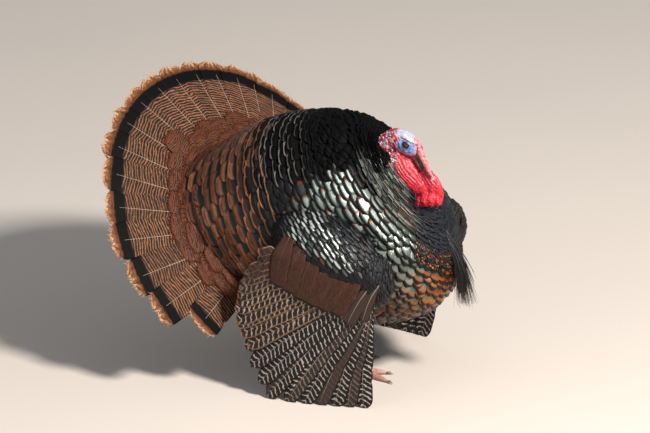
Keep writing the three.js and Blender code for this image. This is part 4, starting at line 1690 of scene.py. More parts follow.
@dataclass
class Head:
    """The bare head and neck: crown, lids, folds, caruncles, snood and wattle."""

    voxel: float = 1.25
    eye: Spot = LEFT_EYE
    ball: float = 7.6
    knobs: int = 7

    def rods(self) -> list[Rod]:
        """Returns the rods of the skull, the neck and the snood."""
        skull = Rod(((76, 0, 545), (124, 0, 556), (174, 0, 530)), lambda run: (23 + 0 * run, 27 + 0 * run))

        def throat(run: Array) -> Pair:
            """Narrows the neck towards the throat."""
            share = 1 - 0.42 * smooth(run, 0.45, 1.0)
            return 31 * share, 38 * share

        def fleshy(run: Array) -> Pair:
            """Swells the snood in its middle."""
            thick = 5.8 * (0.8 + 0.35 * np.sin(run * math.pi))
            return thick, thick

        neck = Rod(((72, 0, 542), (126, 0, 488), (214, 0, 430)), throat)
        snood = Rod(SNOOD, fleshy)
        return [skull, neck, snood]

    def forms(self) -> list[BMesh]:
        """Returns the closed forms of the head."""
        parts = [ball_mesh(rod.point, 40, 30) for rod in self.rods()]
        wattle = Ellipsoid((196, 0, 462), (24, 12, 40), turn=-35 * DEG)
        parts.append(ball_mesh(wattle.point, 24, 20))
        nape = Ellipsoid((91, 0, 539), (27, 26, 29))
        parts.append(ball_mesh(nape.point, 32, 24))
        for i in range(self.knobs):
            share = i / (self.knobs - 1)
            bulge = math.sin(share * math.pi)
            centre = (176 + 40 * share, (12 - 5 * share) * (1 if i % 2 else -1), 424 + 5 * bulge + 6 * share)
            size = 13 * (0.8 + 0.3 * bulge)
            knob = Ellipsoid(centre, (size, size, size * 1.15))
            parts.append(ball_mesh(knob.point, 18, 14))
        return parts

    def layers(self) -> list[tuple[Mesh, Callable]]:
        """Returns the head's skin and what dresses it."""
        return [(remeshed(self.forms(), self.voxel), self.dress)]

    def zones(self, points: Array) -> dict[str, Array]:
        """Returns how much each point belongs to each part of the head."""
        x, _, z = points.T
        ex, _, ez = self.eye
        # along the head's slope, from the crown to the wattle, and across it
        ahead, up = (x - ex), (z - ez)
        crown = smooth(up + 0.35 * ahead, 6, 12) * smooth(x, 110, 126) * smooth(x, 186, 174)
        oval = np.hypot((ahead + 0.30 * up - 1) / 24, (up - 0.1 * ahead + 5) / 21)
        orbit = smooth(oval, 1.08, 0.86)
        behind = smooth(-(0.75 * ahead + 0.66 * up) / np.maximum(np.hypot(ahead, up), 1), 0.62, 0.9)
        nape = smooth(x + 0.22 * (z - 540), 126, 112)
        snood_axis = bend(np.array(SNOOD, float), np.linspace(0, 1, 24))
        near = np.linalg.norm(points[:, None] - snood_axis[None], axis=-1).min(1)
        snood = smooth(near, 9.5, 7.6)
        return {
            "crown": crown * (1 - snood),
            "orbit": orbit * (1 - snood),
            "bag": bell(oval, 0.78, 0.085) * behind,
            "nape": nape * (1 - orbit),
            "snood": snood,
            "wattle": smooth(z, 478, 458),
        }

    def cells(self, points: Array, size: float, stretch: Array, seed: int) -> Pair:
        """Cellular pattern: how near each point is to the middle of its bump, and the bump's own number.

        Args:
            points: Places in millimetres.
            size: The bumps' spacing.
            stretch: The direction in which bumps are long.
            seed: What sets the pattern.

        Returns:
            A height from 0 between bumps to 1 on top, and a random number for each point's bump.
        """
        rng = np.random.default_rng(seed)
        low, high = points.min(0) - size, points.max(0) + size
        squash = np.eye(3) - 0.6 * np.outer(stretch, stretch)
        shape = np.maximum(1, ((high - low) / size).astype(int) + 1)
        jitter = rng.random((*shape, 3))
        index = ((points - low) / size).astype(int)
        best = np.full(len(points), 9.0)
        second = np.full(len(points), 9.0)
        name = np.zeros(len(points))
        for step in product((-1, 0, 1), repeat=3):
            spot = np.clip(index + step, 0, shape - 1)
            offset = jitter[tuple(spot.T)]
            far = np.linalg.norm((points - low - (spot + offset) * size) @ squash, axis=1) / size
            nearer = far < best
            second = np.where(nearer, best, np.minimum(second, far))
            name = np.where(nearer, offset[:, 0], name)
            best = np.minimum(best, far)
        return smooth(second - best, 0.0, 0.32), name

    def dress(self, points: Array, normals: Array) -> Pair:
        """Raises the folds, bumps and lids of the bare head and colours them."""
        zone = self.zones(points)
        slope = unit(np.array([0.62, 0.0, -0.78]))
        bumps, number = self.cells(points, 4.8, slope, 3)
        pebbles, tone = self.cells(points, 2.6, slope, 4)
        x, y, z = points.T
        # distance across the folds that run down the throat
        fall = (x - self.eye[0]) * 0.78 + (z - self.eye[2]) * 0.62
        sway = 2.0 * ripple(points, 42, 6) + 0.6 * ripple(points, 15, 16)
        folds = np.sin(fall * 0.98 + sway + np.sign(y) * 0.7)
        plain = np.clip(1 - zone["nape"] - zone["crown"] - zone["orbit"] - zone["snood"], 0, 1)
        rise = zone["nape"] * (bumps * 2.4 - 0.8)
        rise += plain * (1 - zone["wattle"]) * (folds * 0.95 + (pebbles - 0.5) * 0.4 + (bumps - 0.5) * 0.3)
        rise += plain * zone["wattle"] * (bumps * 1.6 - 0.4 + ripple(points, 16, 8) * 0.8)
        rise += zone["crown"] * (ripple(points, 11, 12) * 0.35 + (pebbles - 0.5) * 0.25)
        rise += zone["snood"] * ((pebbles - 0.5) * 0.7 + ripple(points, 9, 7) * 0.4)
        moved = points + normals * rise[:, None]
        moved, lid = self.lids(moved)
        return moved, self.colour(points, zone, bumps, number, pebbles, tone, folds, lid)

    def lids(self, points: Array) -> Pair:
        """Draws the skin over the rim of each eye: an almond opening with a raised lid round it.

        Args:
            points: The skin.

        Returns:
            The moved skin, and how far each point is into a lid's fold, from 0 to 1, which is painted dark:
            the lid's edge and painted shade in its creases.
        """
        moved = points.copy()
        fold = np.zeros(len(points))
        ex, ey, ez = self.eye
        for side in (-1, 1):
            near = np.sign(points[:, 1]) == side
            dx, dz = points[:, 0] - ex, points[:, 2] - ez
            long, tall = dx * 0.86 - dz * 0.5, dx * 0.5 + dz * 0.86
            ring = np.hypot(long / 1.18, tall / 0.92)
            flat = np.hypot(dx, dz)
            dome = ey + np.sqrt(np.maximum(0.0, (self.ball + 0.7) ** 2 - flat**2))
            sunk = np.full(len(points), ey - 2.0)
            base = np.abs(points[:, 1])
            lid = smooth(ring, 4.6, 5.6) * smooth(ring, 11.5, 8.0)
            inside = smooth(ring, 5.6, 4.4)
            deep = np.maximum(base, dome)
            target = base + (deep + 0.5 * bell(ring, 6.3, 0.9) - base) * lid
            target = target - 0.9 * bell(ring, 9.6, 0.8) - 0.5 * bell(ring, 13, 0.9)
            target = target * (1 - inside) + sunk * inside
            use = near & (ring < 16) & (base > 6)
            moved[use, 1] = side * target[use]
            use = near & (ring < 27) & (base > 6)
            # the dark band: the lid's own edge, and painted shade along the creases sunk above
            rim = smooth(ring, 9.0, 7.4) + 0.5 * bell(ring, 10.6, 0.8)
            rim += 0.75 * bell(ring, 13.4 - 0.08 * long, 1.1) * smooth(tall, -1, -5)
            rim += bell(tall, 9.5 + 0.10 * long, 1.7) * smooth(np.abs(long), 24, 18)
            fold[use] = np.clip(rim[use], 0, 1)
        return moved, fold

    def colour(
        self,
        points: Array,
        zone: dict[str, Array],
        bumps: Array,
        number: Array,
        pebbles: Array,
        tone: Array,
        folds: Array,
        lid: Array,
    ) -> Array:
        """Colours the bare skin: white crown, blue round the eye, red face and wattle, mixed nape, with
        painted shade in its hollows and creases and painted highlights on its folds and bumps.

        Args:
            points: The skin.
            zone: How much each point belongs to each part of the head.
            bumps: How near each point is to the top of a bump.
            number: The bump's own random number.
            pebbles: The same as bumps for the fine grain.
            tone: The same as number for the fine grain.
            folds: -1 in a fold of the throat to 1 between folds.
            lid: How far each point is into a lid's fold, painted dark as the lid's edge and as shade in its
                creases.

        Returns:
            A colour for each point.
        """
        x, y, z = points.T
        tint = np.tile(linear("#c81f33"), (len(points), 1))

        def over(share: Array, colour: str) -> None:
            """Lays a colour over what is there."""
            nonlocal tint
            tint = tint + (linear(colour) - tint) * np.clip(share, 0, 1)[:, None]

        crown, orbit, bag, nape, snood, wattle = zone.values()
        plain = 1 - wattle
        # painted highlight on the crests of the throat's folds and painted shade in their troughs
        over(smooth(folds, 0.3, 1) * plain * 0.25, "#ee6473")
        over(smooth(folds, -0.5, -1) * plain * 0.75, "#5c0810")
        # painted shade in the hollows of the fine grain
        over((1 - pebbles) * 0.35, "#8c0f1d")
        # painted highlight on the tops of the wattle's bumps
        over(wattle * smooth(bumps, 0.5, 1) * 0.4, "#e8404e")
        over(nape, "#5d1c24")
        over(nape * smooth(bumps, 0.25, 0.7), "#c02631")
        over(nape * smooth(bumps, 0.35, 0.8) * smooth(number, 0.66, 0.7), "#d2cdd8")
        over(nape * smooth(bumps, 0.3, 0.1) * smooth(ripple(points, 16, 33), -0.6, 0.6) * 0.8, "#8ba2b4")
        # painted shade in the gaps between the nape's bumps
        over(nape * smooth(bumps, 0.12, 0.0) * 0.85, "#2a1620")
        over(snood, "#c97379")
        over(snood * smooth(tone, 0.4, 0.9) * 0.6, "#efd3cb")
        # painted shade in the hollows of the snood's grain
        over(snood * (1 - pebbles) * 0.5, "#b23545")
        ex, _, ez = self.eye
        back = orbit * smooth(x - ex + 0.3 * (z - ez), -2, -14)
        over(orbit, "#8c9cc8")
        over(orbit * smooth(ripple(points, 11, 21), -0.2, 1.0) * 0.8, "#c3cdea")
        over(back * 0.7, "#7fb0dc")
        over(orbit * smooth(ripple(points, 8, 22), 0.2, 1.1) * 0.75, "#3a3f86")
        # painted shade in the hollows of the grain round the eye
        over(orbit * (1 - pebbles) * 0.5, "#5a5fa6")
        over(bag * 0.95, "#1b1c58")
        over(crown, "#b4b3bc")
        # painted shade in the hollows of the crown's grain
        over(crown * (1 - pebbles) * 0.6, "#868ba3")
        over(crown * smooth(ripple(points, 9, 23), 0.1, 1.2) * 0.3, "#b9c4dc")
        over(crown * smooth(z - ez + 0.35 * (x - ex), 15, 8) * 0.5, "#9fc4e6")
        ear = np.exp(-((((x - 118) / 3.4) ** 2 + ((z - 562) / 3.0) ** 2) ** 2))
        ring = np.exp(-((np.hypot((x - 115) / 1.1, z - 562) - 4.6) ** 2) / 2.2) * smooth(x, 119, 113)
        over(ring * 0.8 * (np.abs(y) > 8), "#d8cda8")
        # dark spot painted for the shade inside the ear opening
        over(ear * (np.abs(y) > 8), "#120a0c")
        # dark lid edge, with painted shade in the creases round it
        over(lid, "#17112b")
        tint[:, 3] = 1
        return tint


@dataclass
class Legs:
    """Both legs: the shanks and toes with their scutes, the claws and the spurs."""

    voxel: float = 1.6
    scute: float = 4.6
    toe_sizes: tuple = ((34, 66, 7.2), (0, 92, 8.0), (-36, 74, 7.2), (172, 34, 6.0))
    toe_names: tuple = ("inner", "middle", "outer", "hind")

    def toes(self, foot: Span, toed: float) -> list[tuple[Rod, Array, Array]]:
        """Returns each toe's rod, start and end."""
        made = []
        joint = np.array([*foot, 7.0])
        for bearing, length, wide in self.toe_sizes:
            angle = toed + bearing * DEG
            way = np.array([math.cos(angle), math.sin(angle), 0])
            start = joint + [0, 0, 3.5]
            middle = joint + way * length / 2
            end = joint + way * length - [0, 0, 2.8]

            def radii(run: Array, wide: float = wide) -> Pair:
                """Tapers the toe and swells its pads."""
                pads = 1 + 0.06 * np.sin(run * 9.5)
                return wide * (1.15 - 0.35 * run) * pads, wide * (1.2 - 0.4 * run) * pads

            side = (float(-way[1]), float(way[0]), 0.0)
            made.append((Rod((tuple(start), tuple(middle), tuple(end)), radii, side), start, end))
        return made

    def feet(self) -> list[tuple[str, Span, float]]:
        """Returns each foot's name, place and toe-out."""
        return [("right", (34.0, -32.0), -18 * DEG), ("left", (-60.0, 46.0), 12 * DEG)]

    def layers(self) -> list[tuple[Mesh, Callable]]:
        """Returns the legs' skin and what dresses it."""
        made = []
        for _, foot, toed in self.feet():
            parts = [ball_mesh(rod.point, 20, 16) for rod, _, _ in self.toes(foot, toed)]
            ball = Ellipsoid((*foot, 13), (14, 13, 15))
            parts.append(ball_mesh(ball.point, 16, 12))
            bottom = np.array([*foot, 12.0])
            top = np.array([foot[0] - 34, foot[1] * 1.2, 190.0])
            shank = Rod(
                (tuple(bottom), tuple((bottom + top) / 2), tuple(top)),
                lambda run: (9.5 + 4 * run, 9.5 + 6 * run),
            )
            parts.append(ball_mesh(shank.point, 24, 24))
            made.append((remeshed(parts, self.voxel), self.dresser(foot, toed)))
        return made

    def dresser(self, foot: Span, toed: float) -> Callable:
        """Returns what cuts the scutes of one leg and colours it."""
        toes = self.toes(foot, toed)

        def dress(points: Array, normals: Array) -> Pair:
            """Raises a scute every few millimetres along each toe and up the shank's front."""
            run = points[:, 2]
            best = np.full(len(points), 30.0)
            for _, start, end in toes:
                way = unit(end - start)
                along = (points - start) @ way
                off = np.linalg.norm(points - start - along[:, None] * way, axis=1)
                use = (off < best) & (along > 4) & (points[:, 2] < 24)
                best = np.where(use, off, best)
                run = np.where(use, along, run)
            ridge = (run / self.scute) % 1.0
            scute = smooth(ridge, 0.0, 0.25) * smooth(ridge, 1.0, 0.8)
            top = smooth(np.maximum(normals[:, 2], np.abs(normals[:, 0])), 0.1, 0.5)
            moved = points + normals * ((scute - 0.6) * 0.7 * top)[:, None]
            moved[:, 2] = np.maximum(moved[:, 2], 0.0)
            base = linear("#b98679")
            tint = np.tile(base, (len(points), 1))
            tint += (linear("#7b4a44") - tint) * ((1 - scute) * 0.7)[:, None]
            patch = smooth(ripple(points, 30, 2), 0, 1.4)[:, None]
            tint += (linear("#d9b6a6") - tint) * patch * 0.5
            high = smooth(points[:, 2], 118, 140)[:, None]
            tint += (linear("#2a1c17") - tint) * high
            tint[:, 3] = 1
            return moved, tint

        return dress

    def horn(self, shop: Workshop, finish: Material) -> None:
        """Makes the claws and the spurs."""
        for word, foot, toed in self.feet():
            for toe, (_, start, end) in zip(self.toe_names, self.toes(foot, toed)):
                way = end - start
                way[2] = 0
                way = unit(way)
                middle, tip = end + way * 6.75, end + way * 15
                middle[2], tip[2] = end[2] + 1.2, 2.0
                side = (float(-way[1]), float(way[0]), 0.0)
                claw = Rod((tuple(end - way * 3), tuple(middle), tuple(tip)), self.taper(3.6, 0.85), side)
                self.horn_piece(shop, f"claw_{word}_{toe}", claw, finish)
            inward = -math.copysign(1, foot[1])
            base = np.array([foot[0] - 12, foot[1] + inward * 5, 50.0])
            tip = base + [-20, inward * 3, 7]
            middle = (base + tip) / 2 - [0, 0, 1.5]
            spur = Rod((tuple(base), tuple(middle), tuple(tip)), self.taper(5.0, 0.9))
            self.horn_piece(shop, f"spur_{word}", spur, finish)

    def taper(self, size: float, fall: float) -> Radii:
        """Returns how a claw or spur of that radius narrows to its tip."""
        return lambda run: (size * (1.1 - fall * run),) * 2

    def horn_piece(self, shop: Workshop, node: str, rod: Rod, finish: Material) -> None:
        """Makes one claw or spur in place of its solid."""
        bm = ball_mesh(rod.point, 14, 12)
        place_bmesh(shop, bm, f"{node}_horn", finish, "horn", node)


def place_bmesh(shop: Workshop, bm: BMesh, name: str, finish: Material, slot: str, node: str) -> None:
    """Makes a closed bmesh in millimetres a piece of the bird, and frees it.

    Args:
        shop: What places it.
        bm: The form.
        name: The piece's name.
        finish: Its material.
        slot: The record's slot for that finish.
        node: The solid it stands for.
    """
    for vertex in bm.verts:
        vertex.co = shop.stance.metres(np.array(vertex.co))
    for face in bm.faces:
        face.smooth = True
    mesh = bpy.data.meshes.new(name)
    bm.to_mesh(mesh)
    bm.free()
    shop.place(mesh, finish, slot, [node])


# ---------------------------------------------------------------- eyes, bill and beard


@dataclass
class Eyes:
    """Both eyes: a dark iris and pupil under a clear bulge."""

    at: Spot = LEFT_EYE
    radius: float = 7.4

    def build(self, shop: Workshop) -> None:
        """Makes each eye in place of its solid."""
        for word, side in (("right", -1), ("left", 1)):
            centre = np.array([self.at[0], side * self.at[1], self.at[2]])

            def place(share: Array, angle: Array, centre: Array = centre, side: int = side) -> Array:
                """Puts the pole outwards and swells the cornea."""
                bulge = 1 + 0.07 * smooth(share, 0.3, 0.12)
                out = np.cos(share * math.pi) * bulge
                ring = np.sin(share * math.pi)
                spot = np.stack([ring * np.cos(angle), side * out, ring * np.sin(angle)], -1)
                return centre + spot * self.radius

            bm = ball_mesh(place, 40, 28)
            finish = self.finish(shop, centre, word)
            place_bmesh(shop, bm, f"eyeball_{word}", finish, "eye", f"eye_{word}")

    def finish(self, shop: Workshop, centre: Array, word: str) -> Material:
        """Returns the wet, dark brown finish of one eye."""
        wet = {"Roughness": 0.06, "Specular_IOR_Level": 0.6, "Coat_Weight": 1.0, "Coat_Roughness": 0.02}
        shader = Shader(f"eye_{word}", **wet)
        x, _, z = shader.split(shader.place())
        at = shop.stance.metres(centre)
        dx, dz = x - float(at[0]), z - float(at[2])
        off = shader.math("SQRT", dx * dx + dz * dz)
        spokes = shader.noise(shader.place(), 900.0, 3.0)
        iris = shader.mix(spokes, "#1d0b07", "#4a1f14")
        colour = shader.mix(shader.step(off, 0.0024, 0.0028), "#020202", iris)
        colour = shader.mix(shader.step(off, 0.0046, 0.0054), colour, "#0c0606")
        return shader.finish(Base_Color=colour)


@dataclass
class Bill:
    """The hooked bill, its two halves."""

    base: Span = (158.0, 532.0)
    tip: Span = (191.0, 491.0)

    def half(self, tall: float, wide: float, length: float, offset: float, hook: float) -> Rod:
        """Returns one half as a tapering rod, off the bill's middle line."""
        base, tip = np.array(self.base), np.array(self.tip)
        way = (tip - base) / np.linalg.norm(tip - base)
        down = np.array([way[1], -way[0]])
        reach = np.linalg.norm(tip - base) * length
        knots = []
        for share, drop in ((-0.25, offset), (0.5, offset), (1.0, offset + hook)):
            x, z = base + way * reach * share + down * drop
            knots.append((x, 0.0, z))

        def radii(run: Array) -> Pair:
            """Tapers the half to its tip."""
            taper = 1.12 - 0.9 * run**1.7
            return wide * taper, tall * taper

        return Rod(tuple(knots), radii)

    def build(self, shop: Workshop, finish: Material) -> None:
        """Makes both halves in place of their solids."""
        upper = ball_mesh(self.half(5.8, 6.6, 1.0, -2.8, 3.4).point, 28, 30)
        lower = ball_mesh(self.half(4.2, 5.6, 0.84, 4.4, -2.8).point, 24, 24)
        place_bmesh(shop, upper, "bill_upper_horn", finish, "horn", "bill_upper")
        place_bmesh(shop, lower, "bill_lower_horn", finish, "horn", "bill_lower")


@dataclass
class Beard:
    """The tuft of coarse bristles that hangs from the breast."""

    bristles: int = 420
    root: Spot = (228.0, 0.0, 362.0)
    knee: Spot = (262.0, 0.0, 300.0)
    tip: Spot = (284.0, 0.0, 190.0)

    def build(self, shop: Workshop, finish: Material) -> None:
        """Makes the beard in place of its solid."""
        rng = np.random.default_rng(SEED + 7)
        spots, faces = VaneTemplate(1, 7).build()
        s, t, h = spots.T
        knots = np.array([self.root, self.knee, self.tip])
        points, vanes, corners = [], [], []
        for i in range(self.bristles):
            spread = rng.normal(0, 1, 2).clip(-1.9, 1.9)
            reach = rng.uniform(0.55, 1.0) ** 0.7
            path = bend(knots, t * reach)
            fan = 0.2 + 0.4 * t + 0.85 * t**2
            path[:, 1] += spread[0] * 10.0 * fan
            path[:, 0] += spread[1] * 7.5 * fan + rng.normal(0, 4.5) * t**2
            path[:, 2] += rng.normal(0, 2.5)
            turn = rng.uniform(0, math.pi)
            thick = rng.uniform(0.7, 1.25) * (1 - 0.8 * t)
            path[:, 1] += (s * math.cos(turn) - h * math.sin(turn)) * thick
            path[:, 0] += (s * math.sin(turn) + h * math.cos(turn)) * thick
            points.append(path)
            vanes.append(np.stack([s, t, np.full_like(s, rng.random())], -1))
            at = np.array([0.03 + 0.94 * (i % 60) / 60, 0.03 + 0.94 * (i // 60) / 8])
            corners.append(at + np.stack([s, t - 0.5], -1) * 0.003)
        tint = np.tile(linear("#151416"), (self.bristles * len(spots), 1))
        mesh = shop.mesh(
            "beard_bristles", np.concatenate(points), tiled(faces, self.bristles, len(spots)),
            {"vane": np.concatenate(vanes), "tint": tint}, np.concatenate(corners),
        )
        shop.place(mesh, finish, "beard", ["beard"])


# ---------------------------------------------------------------- plain finishes


def skin_finish() -> Material:
    """Returns the finish of bare skin: its own tints, moist, with fine pores."""
    shader = Shader(
        "bare_skin", Roughness=0.42, Specular_IOR_Level=0.5, Subsurface_Weight=0.12, Subsurface_Scale=0.004,
        Subsurface_Radius=(1.0, 0.3, 0.2),
    )
    where = shader.place()
    pores = shader.cells(where, 900.0)
    cloud = shader.noise(where, 260.0, 4.0)
    tint = shader.attribute("tint", "Color")
    dull = shader.mix(0.45, tint, "#2a0a0c")
    colour = shader.mix(shader.step(cloud, 0.3, 0.55), dull, tint)
    shader.bump(pores * 0.4 + cloud, 0.0006, 0.5)
    return shader.finish(Base_Color=colour)


def horn_finish(name: str, dark: str, light: str) -> Material:
    """Returns the finish of bill, claw or spur: grown in streaks."""
    shader = Shader(name, Specular_IOR_Level=0.5, Coat_Weight=0.2)
    where = shader.place()
    streaks = shader.noise(where, 240.0, 5.0)
    colour = shader.mix(shader.step(streaks, 0.3, 0.7), dark, light)
    shader.bump(streaks, 0.0004, 0.4)
    return shader.finish(Base_Color=colour, Roughness=0.25 + streaks * 0.3)


def beard_finish() -> Material:
    """Returns the finish of the beard's bristles."""
    shader = Shader("bristle", Roughness=0.38, Specular_IOR_Level=0.6)
    _, v, seed = shader.split(shader.attribute("vane"))
    colour = shader.mix(shader.step(seed, 0.6, 1.0) * 0.6, "#08080a", "#35302c")
    colour = shader.mix(shader.step(v, 0.8, 1.0), colour, "#2b2320")
    return shader.finish(Base_Color=colour)


# ---------------------------------------------------------------- the bird's coat


@dataclass
class Coat:
    """Every tract of small feathers on the body and the tail's base."""

    body: BodySurface
    markings: Markings = Markings()

    def finishes(self) -> dict[str, Material]:
        """Returns the finish of each kind of small feather by its name."""
        kinds = [
            ContourFinish(
                "glossy_contour", dark_from=0.81, rim_from=0.965, side_from=0.8, rough=0.22, metal=0.7,
                warm="#c2601f",
            ),
            ContourFinish(
                "broad_scapular", dark_from=0.89, rim_from=0.975, side_from=0.9, rough=0.36, metal=0.5,
                end="#7a4a30",
            ),
            ContourFinish(
                "velvet_mantle", dark_from=0.9, rim_from=0.965, rough=0.6, metal=0.0, gloss=0.06,
                black="#020202",
            ),
            ContourFinish(
                "copper_rump", bright_from=0.82, dark_from=1.2, rim_from=0.955, rough=0.2, metal=0.6,
                black="#030202",
            ),
            ContourFinish("dull_belly", dark_from=0.85, rim_from=0.9, rough=0.65, metal=0.05),
            ContourFinish("small_neck", dark_from=0.8, rim_from=0.9, rough=0.3, metal=0.45),
        ]
        return {kind.name: kind.build() for kind in kinds}

    def tracts(self) -> Iterator[tuple[str, Tract]]:
        """Yields each tract after the name of its finish, in order from the neck to the tail."""
        m, body = self.markings, self.body

        def front(q: float) -> Span:
            """Returns the span across the bird's front from q on one side to q on the other."""
            return q, 2 * math.pi - q

        fluff = Turned(vent_form(pole=(0.7, 0.0, 0.7), start=(0.0, 0.0, 1.0)))
        yield "small_neck", Tract(
            "neck_feathers", body, (-0.15, 0.20), front(0.8), 9.0, 26.0, m.neck, overlap=2.8, depth=6.0,
            template=VaneTemplate(4, 4), outline=Outline.SQUARE, seed=1, curl=1.5, camber=1.0,
            scatter_along=0.05, proud=2.0,
        )
        yield "small_neck", Tract(
            "chest_feathers", body, (-0.02, 0.33), front(2.25), 6.0, 9.0, m.hairy, q_check=2.7, overlap=4.0,
            template=VaneTemplate(2, 4), outline=Outline.BLADE, seed=7, curl=1.0, proud=1.5,
        )
        yield "velvet_mantle", Tract(
            "mantle_feathers", body, (-0.13, 0.44), (-1.0, 1.0), 11.0, 24.0, m.back, q_check=0.0, seed=12,
            curl=4.5, camber=0.8, depth=11.0, stray=0.12, ruffle=2.2, overlap=2.6,
        )
        yield "velvet_mantle", Tract(
            "nape_feathers", body, (-0.16, 0.12), (-1.3, 1.3), 8.0, 15.0, m.back, q_check=1.0, seed=13,
            camber=0.8, depth=5.0, stray=0.12, ruffle=1.6, overlap=2.6, proud=4.0, curl=1.5,
        )
        yield "velvet_mantle", Tract(
            "back_feathers", body, (0.42, 0.74), (-0.98, 0.98), 14.5, 48.0, m.back, q_check=0.0, seed=2,
            scatter_along=0.035, curl=4.5, camber=0.7, depth=11.0, outline=Outline.SQUARE,
            template=VaneTemplate(6, 5), ruffle=1.4,
        )
        yield "broad_scapular", Tract(
            "scapular_feathers", body, (0.16, 0.68), (0.9, 1.9), 13.0, 46.0, m.scapulars, q_check=1.3,
            overlap=2.5, both_sides=True, seed=3, scatter_along=0.05, curl=2.0, depth=11.0,
            outline=Outline.SQUARE,
        )
        yield "glossy_contour", Tract(
            "breast_feathers", body, (0.22, 0.74), front(1.7), 19.0, 32.0, m.breast, q_check=math.pi,
            seed=4, camber=2.6, scatter_along=0.06, depth=11.0, outline=Outline.ROUND,
            template=VaneTemplate(5, 6), curl=1.0,
        )
        yield "dull_belly", Tract(
            "belly_feathers", body, (0.70, 1.0), front(1.7), 17.0, 32.0, m.belly, q_check=math.pi, seed=5,
            outline=Outline.ROUND, ruffle=2.0,
        )
        yield "copper_rump", Tract(
            "rump_feathers", body, (0.66, 1.0), (-1.95, 1.95), 17.0, 58.0, m.rump, q_check=0.6, seed=6,
            scatter_along=0.03, curl=3.0, camber=0.6, depth=12.0, outline=Outline.SQUARE,
            template=VaneTemplate(6, 7), stray=0.025, ruffle=0.7, spacing=0.66,
        )
        yield "dull_belly", Tract(
            "rear_feathers", RearSurface(body), (-0.02, 0.8), front(0.8), 15.0, 32.0, m.belly,
            q_check=math.pi, seed=9, outline=Outline.ROUND, ruffle=2.0, depth=8.0, proud=7.0,
        )
        yield "dull_belly", Tract(
            "vent_feathers", fluff, (0.05, 1.0), (-math.pi, math.pi), 16.0, 30.0, m.belly, q_check=0.0,
            seed=8, outline=Outline.ROUND, ruffle=2.0,
        )

    def build(self, shop: Workshop) -> None:
        """Makes every tract."""
        finishes = self.finishes()
        for finish, tract in self.tracts():
            slot = "neck_plumage" if finish == "small_neck" else "body_plumage"
            tract.build(shop, finishes[finish], slot)


# ---------------------------------------------------------------- studio


@dataclass(frozen=True)
class Lamp:
    """One soft square lamp: where it stands and its size in metres, its power in watts and its colour."""

    name: str
    at: Spot
    size: float
    power: float
    colour: Spot

    def build(self, target: Vector) -> None:
        """Makes the lamp face a point."""
        data = bpy.data.lights.new(self.name, "AREA")
        data.size = self.size
        data.energy = self.power
        data.color = self.colour
        lamp = bpy.data.objects.new(self.name, data)
        lamp.location = self.at
        lamp.rotation_euler = (target - Vector(self.at)).to_track_quat("-Z", "Y").to_euler()
        bpy.context.scene.collection.objects.link(lamp)


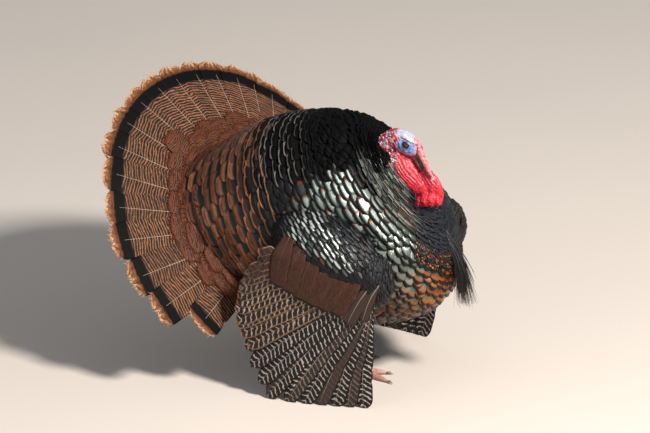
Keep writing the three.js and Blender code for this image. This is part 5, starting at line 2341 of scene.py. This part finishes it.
@dataclass
class Studio:
    """A pale floor, soft light and the camera, in metres but for the sensor and the view's width."""

    azimuth: float = 25 * DEG
    elevation: float = 20 * DEG
    distance: float = 15.0
    scale: float = 0.00225
    right_shift: float = -0.05625
    up_shift: float = 0.336375
    width: int = 650
    sensor: float = 36.0
    floor_half: float = 12.0
    sky: Colour = (0.86, 0.93, 1.0, 1.0)
    sky_strength: float = 0.38
    target: Spot = (0.0, 0.0, 0.3)
    lamps: tuple[Lamp, ...] = (
        Lamp("key", (4.3, -2.1, 4.7), 0.9, 790.0, (1.0, 0.97, 0.93)),
        Lamp("fill", (-2.0, -4.8, 2.4), 3.0, 42.0, (0.9, 0.95, 1.0)),
    )

    def build(self, shop: Workshop) -> None:
        """Makes the floor, the lights and the camera."""
        self.floor()
        self.lights()
        self.camera(shop)

    def floor(self) -> None:
        """Makes the plain floor."""
        bm = bmesh.new()
        bmesh.ops.create_grid(bm, x_segments=1, y_segments=1, size=self.floor_half)
        mesh = bpy.data.meshes.new("floor")
        bm.to_mesh(mesh)
        bm.free()
        floor = bpy.data.objects.new("floor", mesh)
        bpy.context.scene.collection.objects.link(floor)
        shader = Shader("pale_floor", Roughness=0.9, Specular_IOR_Level=0.2)
        cloud = shader.noise(shader.place(), 1.2, 2.0)
        colour = shader.mix(cloud, "#c6bbb1", "#ccc1b7")
        mesh.materials.append(shader.finish(Base_Color=colour))

    def lights(self) -> None:
        """Makes the lamps and the room's own light."""
        world = bpy.data.worlds.new("room")
        world.use_nodes = True
        room = world.node_tree.nodes["Background"]
        room.inputs["Color"].default_value = self.sky
        room.inputs["Strength"].default_value = self.sky_strength
        bpy.context.scene.world = world
        bpy.context.scene.view_settings.view_transform = "Standard"
        for lamp in self.lamps:
            lamp.build(Vector(self.target))

    def camera(self, shop: Workshop) -> None:
        """Makes the camera at the viewing angle."""
        a, e = self.azimuth, self.elevation
        right = Vector((math.cos(a), math.sin(a), 0))
        back = Vector((math.sin(a) * math.cos(e), -math.cos(a) * math.cos(e), math.sin(e)))
        up = back.cross(right)
        aim = Vector(shop.stance.metres(np.zeros(3))) + right * self.right_shift + up * self.up_shift
        data = bpy.data.cameras.new("camera")
        data.sensor_width = self.sensor
        data.lens = self.sensor * self.distance / (self.width * self.scale)
        data.clip_end = 100.0
        camera = bpy.data.objects.new("camera", data)
        camera.matrix_world = Matrix((right, up, back)).transposed().to_4x4()
        camera.location = aim + back * self.distance
        bpy.context.scene.collection.objects.link(camera)
        bpy.context.scene.camera = camera


def main() -> None:
    """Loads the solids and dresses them."""
    logging.basicConfig(level=logging.INFO, format="%(message)s")
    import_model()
    shop = Workshop(Stance.from_eye())
    tail = TailShape()
    body = BodySurface(tail)
    legs = Legs()
    horn = horn_finish("dark_horn", "#2e2822", "#8f8374")
    Studio().build(shop)
    Eyes().build(shop)
    Bill().build(shop, horn_finish("bill_horn", "#211a16", "#65584a"))
    legs.horn(shop, horn)
    Beard().build(shop, beard_finish())
    TailFan(tail).build(shop)
    coat = Coat(body)
    coat.build(shop)
    # the narrow pale band of each small covert, in the shoulder's silver-white tint, is a painted glint
    covert = ContourFinish(
        "painted_glint_covert", bright_from=0.68, dark_from=0.82, rim_from=0.95, side_from=0.75, rough=0.25,
        metal=0.5,
    ).build()
    for number, side in enumerate((-1, 1)):
        wing = Wing(side, WingSurface(side), seed=number)
        wing.primaries(shop)
        wing.secondaries(shop)
        wing.greater_coverts(shop)
        wing.shoulder(shop, coat.markings, covert)
    Skin(body).build(shop, Head(), legs, skin_finish())


if __name__ == "__main__":
    main()
